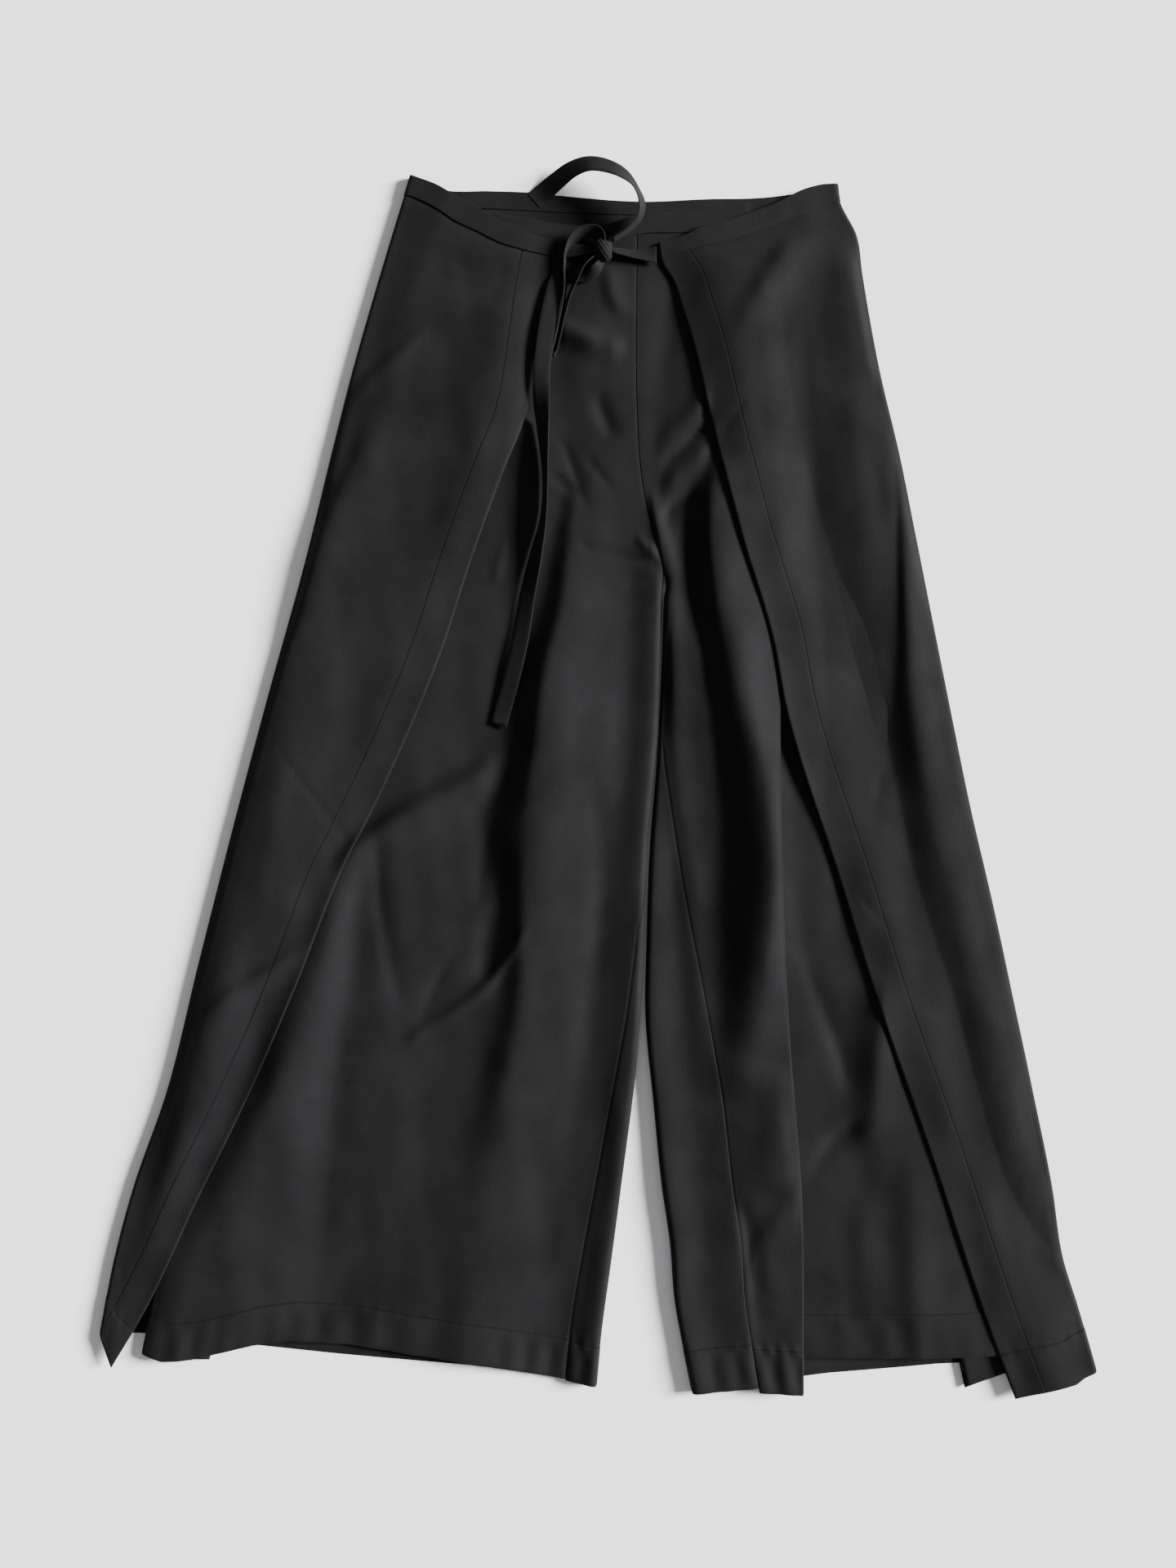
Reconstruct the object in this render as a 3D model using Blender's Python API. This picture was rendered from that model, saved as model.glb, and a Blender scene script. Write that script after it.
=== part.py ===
"""Wide-leg wrap trousers in black woven cloth, laid flat with the front up.

Each leg has two panels. The back panel runs from the inseam over the back, round the side and on over the
front, where its slanted free edge lies on top. The front panel runs from the inseam over the front to a side
fold of its own, which the back panel hides, and returns between the layers as an extension. Two narrow bands
close the waist, and ties at the corners of the outer band meet in a bow knot.

Sizes are in millimetres. A place on the cloth is given by how far down it is from the highest corner of the
waist, and how far across from the middle of the part, positive towards the wearer's left leg. Heights are
those of the middle of the cloth's wall. Every panel is a wall swept through cross-sections: each section is a
path over these heights, with half-round folds where the cloth turns back over itself.
"""
import bmesh
import bpy
import numpy as np

# Driving sizes
CLOTH = 1.0
BAND_CLOTH = 1.4
TIE_CLOTH = 1.6
SEAM_GAP = 0.7
REST_GAP = 1.0
LAYER = 2.3
WAIST_Y = 512.6
SHIFT_X = -0.5
CROTCH_DOWN = 338.0
MM = 0.001

# Where the cross-sections lie between an edge at the waist and one at the hem
SECTIONS = np.linspace(105, 965, 18)

# How high each layer lies, before its folds
FLOOR = CLOTH / 2
EXTENSION = FLOOR + LAYER
FRONT = EXTENSION + LAYER
OVERWRAP_AIR = 2.4
INNER_ROLL = 4.5
INNER_ROLL_WIDTH = 16.0
LEG_GAP = 1.0


def curve(table):
    """A smooth line through (down, value) rows: cubic pieces whose slope at a row is that of its neighbours."""
    at, value = np.array(table, float).T
    slope = np.gradient(value, at)

    def read(x):
        x = np.asarray(x, float)
        i = np.clip(np.searchsorted(at, x) - 1, 0, len(at) - 2)
        wide = at[i + 1] - at[i]
        t = np.clip((x - at[i]) / wide, 0, 1)
        past = x - at[i] - t * wide
        end_slope = np.where(past > 0, slope[i + 1], slope[i])
        h00, h10 = 2 * t**3 - 3 * t**2 + 1, t**3 - 2 * t**2 + t
        h01, h11 = 3 * t**2 - 2 * t**3, t**3 - t**2
        inside = h00 * value[i] + h10 * wide * slope[i] + h01 * value[i + 1] + h11 * wide * slope[i + 1]
        return inside + past * end_slope

    return read


def outline(table):
    """A hem through (across, down) rows in straight pieces, as a hem creases at its corners."""
    across, down = np.array(table, float).T
    return lambda x: np.interp(x, across, down)


def smooth(x, low, high):
    """0 below low, 1 above high, and an S-curve between them."""
    t = np.clip((x - low) / (high - low), 0, 1)
    return t * t * (3 - 2 * t)


# Lines down the legs, as rows of (down, across)
SIDE = {
    "right": curve([(0, -160), (17, -165), (53, -176), (93, -188), (170, -210), (229, -225), (331, -250),
                    (443, -281), (548, -309), (674, -341), (786, -369), (863, -396), (922, -412), (989, -425)]),
    "left": curve([(8, 205), (22, 207), (51, 221), (84, 226), (163, 240), (240, 258), (310, 272), (380, 286),
                   (450, 300), (534, 317), (625, 338), (709, 356), (779, 371), (863, 388), (927, 398),
                   (965, 410), (1021, 426)]),
}
FREE_EDGE = {
    "right": curve([(57, -34), (69, -38), (93, -43), (140, -50), (212, -63), (254, -80), (325, -106),
                    (415, -136), (522, -182), (597, -219), (692, -256), (804, -306), (863, -335),
                    (973, -388), (1018, -415)]),
    "left": curve([(59, 51), (74, 54), (91, 64), (113, 71), (142, 80), (201, 94), (310, 122), (399, 149),
                   (448, 158), (605, 207), (696, 235), (828, 281), (994, 337), (1044, 356)]),
}
CENTRE = curve([(20, 34), (51, 34), (198, 34), (240, 36), (276, 41), (303, 48), (338, 56)])
INNER_RIGHT = curve([(303, 56), (338, 56), (415, 54), (498, 50), (572, 43), (655, 40), (737, 36), (863, 21),
                     (931, 12), (990, 4), (1033, 0)])
INNER_LEFT = curve([(303, 56), (338, 56), (415, 54), (498, 50), (572, 44), (655, 41), (715, 40), (793, 47),
                    (863, 54), (912, 61), (961, 65), (1000, 72), (1040, 80)])
INNER = {
    "right": lambda down: INNER_RIGHT(down) - LEG_GAP,
    "left": lambda down: INNER_LEFT(down) + LEG_GAP,
}
# How far the back panel turns up over the inner fold before it meets the front panel
TURN_UP = {
    "right": curve([(0, 0), (520, 0), (570, 1), (620, 3.5), (688, 9), (773, 17), (863, 22), (940, 26),
                    (1034, 27)]),
    "left": curve([(0, 0), (395, 0), (450, 1.5), (500, 6), (557, 19), (637, 36), (718, 53), (773, 58),
                   (863, 60), (941, 60), (1040, 57)]),
}
FRONT_FOLD = {
    "right": curve([(20, -156), (300, -232), (600, -306), (800, -348), (1006, -389)]),
    "left": curve([(20, 198), (300, 258), (600, 320), (800, 362), (1020, 402)]),
}
EXTENSION_EDGE = {
    "right": curve([(45, -66), (400, -168), (1012, -332)]),
    "left": curve([(45, 92), (400, 176), (1036, 314)]),
}
# The lengthwise fold of the left front panel: its edge, and how far it goes back under itself
PLEAT_EDGE = curve([(30, 128), (150, 138), (300, 148), (448, 155), (531, 154), (639, 157), (763, 165),
                    (861, 173), (1040, 175)])
PLEAT_DEPTH = curve([(30, 5), (300, 9), (448, 13), (640, 22), (763, 29), (861, 35), (1040, 40)])

# Edges across the legs, as rows of (across, down)
OVER_TOP = {
    "right": curve([(-165, 17), (-156, 20), (-137, 30), (-121, 41), (-102, 50), (-84, 59), (-64, 65),
                      (-38, 70)]),
    "left": curve([(54, 72), (76, 66), (106, 59), (138, 48), (164, 38), (191, 27), (207, 22)]),
}
BACK_TOP = curve([(-165, 17), (-150, 21.5), (-130, 24.5), (-71, 28), (34, 32), (90, 30.5), (150, 28),
                  (190, 24.5), (207, 22)])
FRONT_TOP = curve([(-162, 31), (-130, 39), (-103, 47), (-64, 54), (-24, 60), (6, 59), (34, 51), (76, 49),
                     (118, 45), (165, 37), (202, 31)])
EXTENSION_TOP = {
    "right": curve([(-162, 31), (-66, 58)]),
    "left": curve([(92, 56), (202, 31)]),
}
BAND_TOP_OVER = {
    "right": curve([(-160, 0), (-136, 10), (-120, 20), (-102, 29), (-85, 40), (-64, 49), (-50, 54),
                      (-34, 57)]),
    "left": curve([(51, 59), (76, 52), (93, 44), (112, 40), (138, 31), (151, 26), (177, 13), (191, 9),
                     (205, 8)]),
}
BAND_TOP_BACK = curve([(-160, 0), (-136, 10), (-92, 12), (-62, 13), (-22, 17), (39, 21), (90, 19),
                         (149, 17), (177, 13), (205, 8)])
BAND_TOP_FRONT = curve([(-162, 15), (-130, 23), (-103, 30), (-64, 37), (-24, 43), (6, 43), (34, 34),
                          (79, 32), (103, 26), (139, 22), (202, 15)])
BAND_TOP_EXTENSION = {
    "right": curve([(-162, 15), (-66, 42)]),
    "left": curve([(92, 40), (202, 15)]),
}
BACK_HEM = {
    "right": outline([(-425, 989), (-387, 990), (-293, 1000), (-218, 1008), (-92, 1019), (0, 1033)]),
    "left": outline([(80, 1040), (137, 1034), (175, 1026), (261, 1019), (305, 1015), (380, 1015),
                     (426, 1021)]),
}
OVER_HEM = {
    "right": outline([(-425, 989), (-415, 1018)]),
    "left": outline([(356, 1044), (408, 1031), (415, 1026), (426, 1021)]),
}
FRONT_HEM = {
    "right": outline([(-389, 1006), (-371, 1012), (-346, 1010), (-293, 998), (-263, 995), (-218, 998),
                      (-148, 1008), (-92, 1016), (-26, 1028), (1, 1033)]),
    "left": outline([(80, 1040), (137, 1038), (175, 1040)]),
}
LEFT_UNDER_HEM = outline([(130, 1018), (150, 1010), (305, 1009), (402, 1006)])
EXTENSION_HEM = {
    "right": outline([(-389, 1006), (-371, 1011), (-332, 1012)]),
    "left": outline([(314, 1036), (347, 1024), (402, 1006)]),
}

# Folds, one a row: from (across, down) to (across, down), height, and half widths on the two sides
# (towards the wearer's right leg, then towards the left)
FRONT_FOLDS = {
    "right": [
        # the long ridge from the crotch down the leg
        (-19, 282, -40, 470, 7.0, 12, 30),
        (-40, 470, -58, 655, 7.0, 14, 34),
        (-58, 655, -108, 900, 6.0, 16, 30),
        # the ridge beside the free edge of the overwrap
        (-212, 590, -262, 780, 7.0, 26, 26),
        (-262, 780, -330, 880, 6.0, 24, 30),
        # slanting ridges across the thigh and the knee
        (-205, 560, -75, 525, 4.0, 14, 14),
        (-157, 735, -60, 646, 4.0, 10, 10),
    ],
    "left": [
        # the low ridge that runs on from the centre seam beside the inseam
        (62, 312, 72, 430, 4.0, 7, 9),
        (72, 430, 88, 640, 4.0, 9, 12),
        # the big ridge that ends in the lengthwise fold
        (97, 285, 92, 345, 7.0, 14, 26),
        (92, 345, 135, 480, 10.0, 18, 30),
        (135, 480, 146, 640, 12.0, 26, 34),
        (146, 640, 150, 740, 9.0, 26, 34),
        (152, 760, 160, 960, 4.0, 24, 24),
        # soft slants between the centre seam and the free edge
        (48, 275, 92, 232, 3.5, 10, 12),
    ],
}
OVERWRAP_FOLDS = {
    "right": [
        # the lifted free edge beside the tie
        (-46, 120, -80, 250, 2.0, 30, 30),
        # creases over the thigh and above the hem
        (-270, 495, -215, 565, 3.0, 14, 14),
        (-306, 700, -262, 672, 3.0, 12, 12),
        (-330, 840, -385, 940, 3.0, 16, 16),
    ],
    "left": [
        # the lifted free edge from the waist to the thigh
        (70, 118, 103, 240, 6.0, 30, 34),
        (103, 240, 150, 400, 4.0, 26, 30),
        # the roll along the side, with a trough inside it
        (240, 330, 278, 470, 4.0, 18, 14),
        (278, 470, 345, 800, 5.0, 22, 16),
        (345, 800, 385, 920, 4.0, 18, 14),
        # the ridge that runs down from the waist
        (170, 60, 158, 190, 3.0, 16, 22),
    ],
}


def raised(folds, x, down):
    """The height that a list of folds adds at a place: each is a bell across its line, faded at its ends."""
    height = np.zeros(np.broadcast(x, down).shape)
    for x0, d0, x1, d1, top, before, after in folds:
        long = np.hypot(x1 - x0, d1 - d0)
        ux, ud = (x1 - x0) / long, (d1 - d0) / long
        along = (x - x0) * ux + (down - d0) * ud
        off = ((x - x0) * ud - (down - d0) * ux) * np.sign(ud + 1e-9)
        wide = np.where(off < 0, before, after)
        beyond = np.maximum(np.maximum(-along, along - long), 0) / (0.22 * long + before)
        height = np.maximum(height, 0) + top * np.exp(-((off / wide) ** 2) - beyond**2) * fade_in(height, top)
    return height


def fade_in(height, top):
    """How much of a fold is added where others already rise, so that folds in a line join and don't heap."""
    return 1 - np.clip(height / (top + 1e-9), 0, 1) * 0.75


def front_height(side, x, down):
    """The middle of the front panel's wall."""
    roll = INNER_ROLL * np.exp(-(((x - INNER[side](down)) / INNER_ROLL_WIDTH) ** 2))
    roll = roll * smooth(down, CROTCH_DOWN - 60, CROTCH_DOWN + 20)
    out = np.abs(SIDE[side](down) - x)
    calm = smooth(out, 8, 45) * smooth(down, 60, 130)
    return FRONT + roll + raised(FRONT_FOLDS[side], x, down) * calm + 1.2 * smooth(out, 4, 60)


def pleat_rise(x, down):
    """How far the top layer of the lengthwise fold is lifted to make room for the two layers under it."""
    reach = PLEAT_EDGE(down) - PLEAT_DEPTH(down)
    return 2 * LAYER * smooth(x, reach - 16, reach - 4)


def left_top_height(x, down):
    """The left front panel's wall from the inseam to the edge of its lengthwise fold."""
    return front_height("left", x, down) + pleat_rise(x, down)


def left_under_height(x, down):
    """The left front panel's wall beyond the lengthwise fold, where the big ridge has dropped away."""
    past = smooth(x, PLEAT_EDGE(down) - 6, PLEAT_EDGE(down) + 46)
    low = FRONT + 0.35 * (front_height("left", x, down) - FRONT)
    return low * (1 - past) + (FRONT + 1.2) * past


def over_height(side, x, down):
    """The middle of the overwrap's wall: it rides over the front panel, with a little air under it."""
    out = np.abs(SIDE[side](down) - x)
    air = OVERWRAP_AIR * smooth(out, 4, 40)
    under = front_height(side, x, down)
    if side == "left":
        drop = 1 - smooth(x, PLEAT_EDGE(down) + 4, PLEAT_EDGE(down) + 50)
        under = under + pleat_rise(x, down) * drop
    folds = raised(OVERWRAP_FOLDS[side], x, down) * smooth(out, 3, 16)
    return under + LAYER + air + folds


SIGN = {"right": -1.0, "left": 1.0}


def meet(across, edge):
    """Where a lengthwise line crosses an edge: down is halved in on until it equals the edge's own down."""
    low = np.full(np.shape(across(0.0)), -60.0)
    high = low + 1160.0
    for _ in range(40):
        middle = (low + high) / 2
        short = middle < edge(across(middle))
        low, high = np.where(short, middle, low), np.where(short, high, middle)
    return (low + high) / 2


def stretch(count, place, top, hem, sections=SECTIONS, closed=False):
    """Columns of a panel, from fraction 0 to 1 across one stretch of its section.

    place gives across and height from the fraction and the down; top and hem give the down of the two edges
    from the fraction and the across. The last column is left to the next stretch unless closed.
    """
    f = np.linspace(0, 1, count + 1)
    f = f if closed else f[:-1]
    first = meet(lambda d: place(f, d + 0 * f)[0], lambda x: top(f, x))
    last = meet(lambda d: place(f, d + 0 * f)[0], lambda x: hem(f, x))
    between = np.broadcast_to(sections, (len(f), len(sections)))
    down = np.concatenate([first[:, None], between, last[:, None]], axis=1)
    x, z = place(f[:, None], down)
    return np.stack([x, WAIST_Y - down, z + 0 * x], axis=-1)


def on_layer(start, end, height, crowd=1.0):
    """A stretch that lies on one layer, between two lengthwise lines; crowd draws its columns to the end."""
    def place(f, down):
        x = end(down) + (start(down) - end(down)) * (1 - f) ** crowd
        return x, height(x, down) + 0 * x
    return place


def half_round(line, toward, lower, upper, upward=True):
    """A fold whose outermost line is given: a half circle from one layer's height to another's."""
    def place(f, down):
        edge = line(down)
        low, high = lower(edge, down), upper(edge, down)
        radius = (high - low) / 2
        turn = np.pi * (f - 0.5) * (1 if upward else -1)
        x = edge - toward * radius + toward * radius * np.cos(turn)
        return x, low + radius + radius * np.sin(turn)
    return place


def fold_centre(line, toward, lower, upper):
    """The line where a half-round fold meets the flat stretches beside it."""
    def read(down):
        edge = line(down)
        return edge - toward * (upper(edge, down) - lower(edge, down)) / 2
    return read


def edge_of(function):
    """An edge that depends on the across only."""
    return lambda f, x: function(x)


def edge_between(one, other):
    """An edge that passes from one outline to another as a fold turns."""
    return lambda f, x: one(x) * (1 - f) + other(x) * f


def shifted(edge, by):
    """An edge moved down the leg."""
    return lambda f, x: edge(f, x) + by


def floor_height(x, down):
    return FLOOR + 0 * x


def extension_height(x, down):
    return EXTENSION + 0 * x


def leg_side(side):
    """The section functions that the panels of one leg share, by name."""
    sign = SIGN[side]

    def front(x, down):
        return left_top_height(x, down) if side == "left" else front_height("right", x, down)

    def over(x, down):
        return over_height(side, x, down)

    def seam_at(down):
        """How far round the inner fold the inseam lies, from where the fold leaves the floor."""
        edge = INNER[side](down)
        radius = (front(edge, down) - FLOOR) / 2
        turn_up = np.maximum(TURN_UP[side](down), 0)
        angle = np.pi / 2 + np.arcsin(np.clip(turn_up / radius, 0, 1))
        return radius * angle + np.maximum(turn_up - radius, 0), radius

    def round_inner(arc, down):
        """A place on the inner fold, arc millimetres from where it leaves the floor."""
        seam, radius = seam_at(down)
        centre = INNER[side](down) + sign * radius
        angle = np.minimum(arc / radius, np.pi)
        past = np.maximum(arc - np.pi * radius, 0)
        x = centre - sign * radius * np.sin(angle) + sign * past
        z = np.where(past > 0, front(x, down), FLOOR + radius * (1 - np.cos(angle)))
        return x, z

    def closing(down):
        """0 above the crotch, where both layers lie flat to the centre seams, and 1 where the leg is a tube."""
        return smooth(down, CROTCH_DOWN - 6, CROTCH_DOWN + 26)

    def back_strip(f, down):
        seam, radius = seam_at(down)
        seam = seam - SEAM_GAP / 2
        bend = np.minimum(np.pi * radius, 0.7 * seam)
        arc = np.where(f < 0.45, seam + (bend - seam) * f / 0.45, bend * (1 - f) / 0.55)
        x, z = round_inner(arc, down)
        flat = CENTRE(down) + sign * (SEAM_GAP / 2 + seam - arc)
        shut = closing(down)
        return flat * (1 - shut) + x * shut, FLOOR * (1 - shut) + z * shut

    def front_strip(f, down):
        seam, radius = seam_at(down)
        end = np.maximum(np.pi * radius, seam) + 4
        arc = seam + SEAM_GAP / 2 + (end - seam) * f
        x, z = round_inner(arc, down)
        flat = CENTRE(down) + sign * (arc - seam)
        shut = closing(down)
        return flat * (1 - shut) + x * shut, front(flat, down) * (1 - shut) + z * shut

    return {
        "sign": sign,
        "front": front,
        "over": over,
        "back_strip": back_strip,
        "front_strip": front_strip,
        "back_start": lambda down: back_strip(1.0, down)[0],
        "front_start": lambda down: front_strip(1.0, down)[0],
        "side_centre": fold_centre(SIDE[side], sign, floor_height, over),
        "front_fold_centre": fold_centre(FRONT_FOLD[side], sign, extension_height, front_outer(side)),
    }


def front_outer(side):
    """The height of the front panel where it nears its side fold."""
    return left_under_height if side == "left" else (lambda x, down: front_height("right", x, down))


LEG = {side: leg_side(side) for side in SIGN}


def back_panel(side):
    """From the inseam round the inner fold, over the floor, round the side and over the front."""
    leg = LEG[side]
    over_top = shifted(edge_of(OVER_TOP[side]), SEAM_GAP)
    back_top = shifted(edge_of(BACK_TOP), SEAM_GAP)
    back_hem, over_hem = edge_of(BACK_HEM[side]), edge_of(OVER_HEM[side])
    return [
        stretch(9, leg["back_strip"], back_top, back_hem),
        stretch(6, on_layer(leg["back_start"], leg["side_centre"], floor_height, 1.7), back_top, back_hem),
        stretch(6, half_round(SIDE[side], leg["sign"], floor_height, leg["over"]),
                shifted(edge_between(BACK_TOP, OVER_TOP[side]), SEAM_GAP),
                edge_between(BACK_HEM[side], OVER_HEM[side])),
        stretch(12, on_layer(leg["side_centre"], FREE_EDGE[side], leg["over"]), over_top, over_hem,
                closed=True),
    ]


def extension(side, height):
    """The front panel's own side fold, and its return between the layers."""
    leg = LEG[side]
    under_hem = LEFT_UNDER_HEM if side == "left" else FRONT_HEM["right"]
    return [
        stretch(5, half_round(FRONT_FOLD[side], leg["sign"], extension_height, height, upward=False),
                shifted(edge_between(FRONT_TOP, EXTENSION_TOP[side]), SEAM_GAP),
                edge_between(under_hem, EXTENSION_HEM[side])),
        stretch(4, on_layer(leg["front_fold_centre"], EXTENSION_EDGE[side], extension_height),
                shifted(edge_of(EXTENSION_TOP[side]), SEAM_GAP), edge_of(EXTENSION_HEM[side]), closed=True),
    ]


def right_front_panel():
    """From the centre seam and the inseam over the front, and back as the extension."""
    leg = LEG["right"]
    top, hem = shifted(edge_of(FRONT_TOP), SEAM_GAP), edge_of(FRONT_HEM["right"])
    return [
        stretch(3, leg["front_strip"], top, hem),
        stretch(13, on_layer(leg["front_start"], leg["front_fold_centre"], leg["front"]), top, hem),
    ] + extension("right", leg["front"])


def left_front_panel():
    """As the right one, with a deep lengthwise fold: over to its edge, back under itself, and on."""
    leg = LEG["left"]
    top = shifted(edge_of(FRONT_TOP), SEAM_GAP)
    hem, under_hem = edge_of(FRONT_HEM["left"]), edge_of(LEFT_UNDER_HEM)

    def inner_edge(down):
        return PLEAT_EDGE(down) - PLEAT_DEPTH(down)

    def back_edge_height(x, down):
        return left_under_height(x, down) + LAYER

    def return_top(x, down):
        return left_top_height(x, down) - LAYER

    outer_line = fold_centre(PLEAT_EDGE, 1.0, return_top, left_top_height)
    inner_line = fold_centre(inner_edge, -1.0, left_under_height, back_edge_height)

    def going_back(f, down):
        start, end = outer_line(down), inner_line(down)
        high = return_top(PLEAT_EDGE(down), down)
        low = back_edge_height(inner_edge(down), down)
        return start * (1 - f) + end * f, high * (1 - f) + low * f

    def to_under(f, x):
        return FRONT_HEM["left"](x) * (1 - f) + LEFT_UNDER_HEM(x) * f

    return [
        stretch(3, leg["front_strip"], top, hem),
        stretch(9, on_layer(leg["front_start"], outer_line, left_top_height), top, hem),
        stretch(5, half_round(PLEAT_EDGE, 1.0, return_top, left_top_height, upward=False), top, hem),
        stretch(3, going_back, top, to_under),
        stretch(5, half_round(inner_edge, -1.0, left_under_height, back_edge_height, upward=False),
                top, under_hem),
        stretch(10, on_layer(inner_line, leg["front_fold_centre"], left_under_height), top, under_hem),
    ] + extension("left", left_under_height)


def outer_band():
    """One strip from the right overwrap's corner round the back to the left overwrap's corner."""
    right, left = LEG["right"], LEG["left"]

    def over_part(side, flip):
        leg = LEG[side]
        lines = (leg["side_centre"], FREE_EDGE[side])
        start, end = lines[::-1] if flip else lines
        return stretch(12, on_layer(start, end, leg["over"]), edge_of(BAND_TOP_OVER[side]),
                       edge_of(OVER_TOP[side]), [], closed=not flip)

    def side_part(side, upward):
        edges = (BACK_TOP, OVER_TOP[side]) if upward else (OVER_TOP[side], BACK_TOP)
        tops = (BAND_TOP_BACK, BAND_TOP_OVER[side]) if upward else (BAND_TOP_OVER[side], BAND_TOP_BACK)
        return stretch(6, half_round(SIDE[side], SIGN[side], floor_band, LEG[side]["over"], upward),
                       edge_between(*tops), edge_between(*edges), [])

    back = stretch(16, on_layer(right["side_centre"], left["side_centre"], floor_band),
                   edge_of(BAND_TOP_BACK), edge_of(BACK_TOP), [])
    return [over_part("right", True), side_part("right", False), back, side_part("left", True),
            over_part("left", False)]


def floor_band(x, down):
    """The band is thicker than a panel, so its middle lies higher."""
    return BAND_CLOTH / 2 + 0 * x


def inner_band():
    """One strip over both front panels, with its two ends turned back on the extensions."""
    right, left = LEG["right"], LEG["left"]

    def end_part(side, outward):
        leg = LEG[side]
        lines = (EXTENSION_EDGE[side], leg["front_fold_centre"])
        start, end = lines if not outward else lines[::-1]
        return stretch(3, on_layer(start, end, extension_height), edge_of(BAND_TOP_EXTENSION[side]),
                       edge_of(EXTENSION_TOP[side]), [], closed=outward)

    def side_part(side, upward):
        edges = (EXTENSION_TOP[side], FRONT_TOP) if upward else (FRONT_TOP, EXTENSION_TOP[side])
        tops = (BAND_TOP_EXTENSION[side], BAND_TOP_FRONT)
        tops = tops if upward else tops[::-1]
        return stretch(5, half_round(FRONT_FOLD[side], SIGN[side], extension_height, front_outer(side),
                                     upward), edge_between(*tops), edge_between(*edges), [])

    def over_front(f, down):
        x = right["front_fold_centre"](down) * (1 - f) + left["front_fold_centre"](down) * f
        share = smooth(x, 20, 60)
        return x, front_height("right", x, down) * (1 - share) + left_under_height(x, down) * share

    front = stretch(24, over_front, edge_of(BAND_TOP_FRONT), edge_of(FRONT_TOP), [])
    return [end_part("right", False), side_part("right", True), front, side_part("left", False),
            end_part("left", True)]


def wall(name, stretches, thickness):
    """A closed wall: the section's points moved out and in by half the cloth, with rims round its edges."""
    middle = np.concatenate(stretches, axis=0)
    along, across = np.gradient(middle, axis=1), np.gradient(middle, axis=0)
    normal = np.cross(across, along)
    normal /= np.linalg.norm(normal, axis=-1, keepdims=True)
    columns, rows = middle.shape[:2]
    points = np.concatenate([middle + normal * thickness / 2, middle - normal * thickness / 2])
    index = np.arange(2 * columns * rows).reshape(2 * columns, rows)
    top, under = index[:columns], index[columns:]

    def quads(a, b, c, d):
        return np.stack([a, b, c, d], axis=-1).reshape(-1, 4)

    faces = np.concatenate([
        quads(top[:-1, :-1], top[1:, :-1], top[1:, 1:], top[:-1, 1:]),
        quads(under[:-1, :-1], under[:-1, 1:], under[1:, 1:], under[1:, :-1]),
        quads(top[:-1, 0], under[:-1, 0], under[1:, 0], top[1:, 0]),
        quads(top[:-1, -1], top[1:, -1], under[1:, -1], under[:-1, -1]),
        quads(top[0, :-1], top[0, 1:], under[0, 1:], under[0, :-1]),
        quads(top[-1, :-1], under[-1, :-1], under[-1, 1:], top[-1, 1:]),
    ])
    return add_object(name, points.reshape(-1, 3), faces)


def add_object(name, points, faces):
    """A named object with its own cloth material, from points in millimetres."""
    mesh = bpy.data.meshes.new(name)
    placed = (points + np.array([SHIFT_X, 0, 0])) * MM
    mesh.from_pydata(placed.tolist(), [], [list(map(int, face)) for face in faces])
    body = bmesh.new()
    body.from_mesh(mesh)
    bmesh.ops.recalc_face_normals(body, faces=body.faces)
    body.to_mesh(mesh)
    body.free()
    thing = bpy.data.objects.new(name, mesh)
    bpy.context.collection.objects.link(thing)
    mesh.materials.append(black_cloth(name))
    return thing


def black_cloth(name):
    """Matt black woven cloth."""
    material = bpy.data.materials.new(name + "_cloth")
    material.use_nodes = True
    shader = material.node_tree.nodes["Principled BSDF"]
    shader.inputs["Base Color"].default_value = (0.0121, 0.0121, 0.0137, 1.0)
    shader.inputs["Roughness"].default_value = 0.85
    shader.inputs["Metallic"].default_value = 0.0
    return material


# The knot, an egg of crossed cloth: its middle (across, down, height) and its half sizes
KNOT = np.array([6.0, 62.0, 17.0])
KNOT_SIZE = np.array([8.0, 9.0, 7.0])
KNOT_WRAP = np.array([0.8, 0.6, 0.1])

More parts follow.
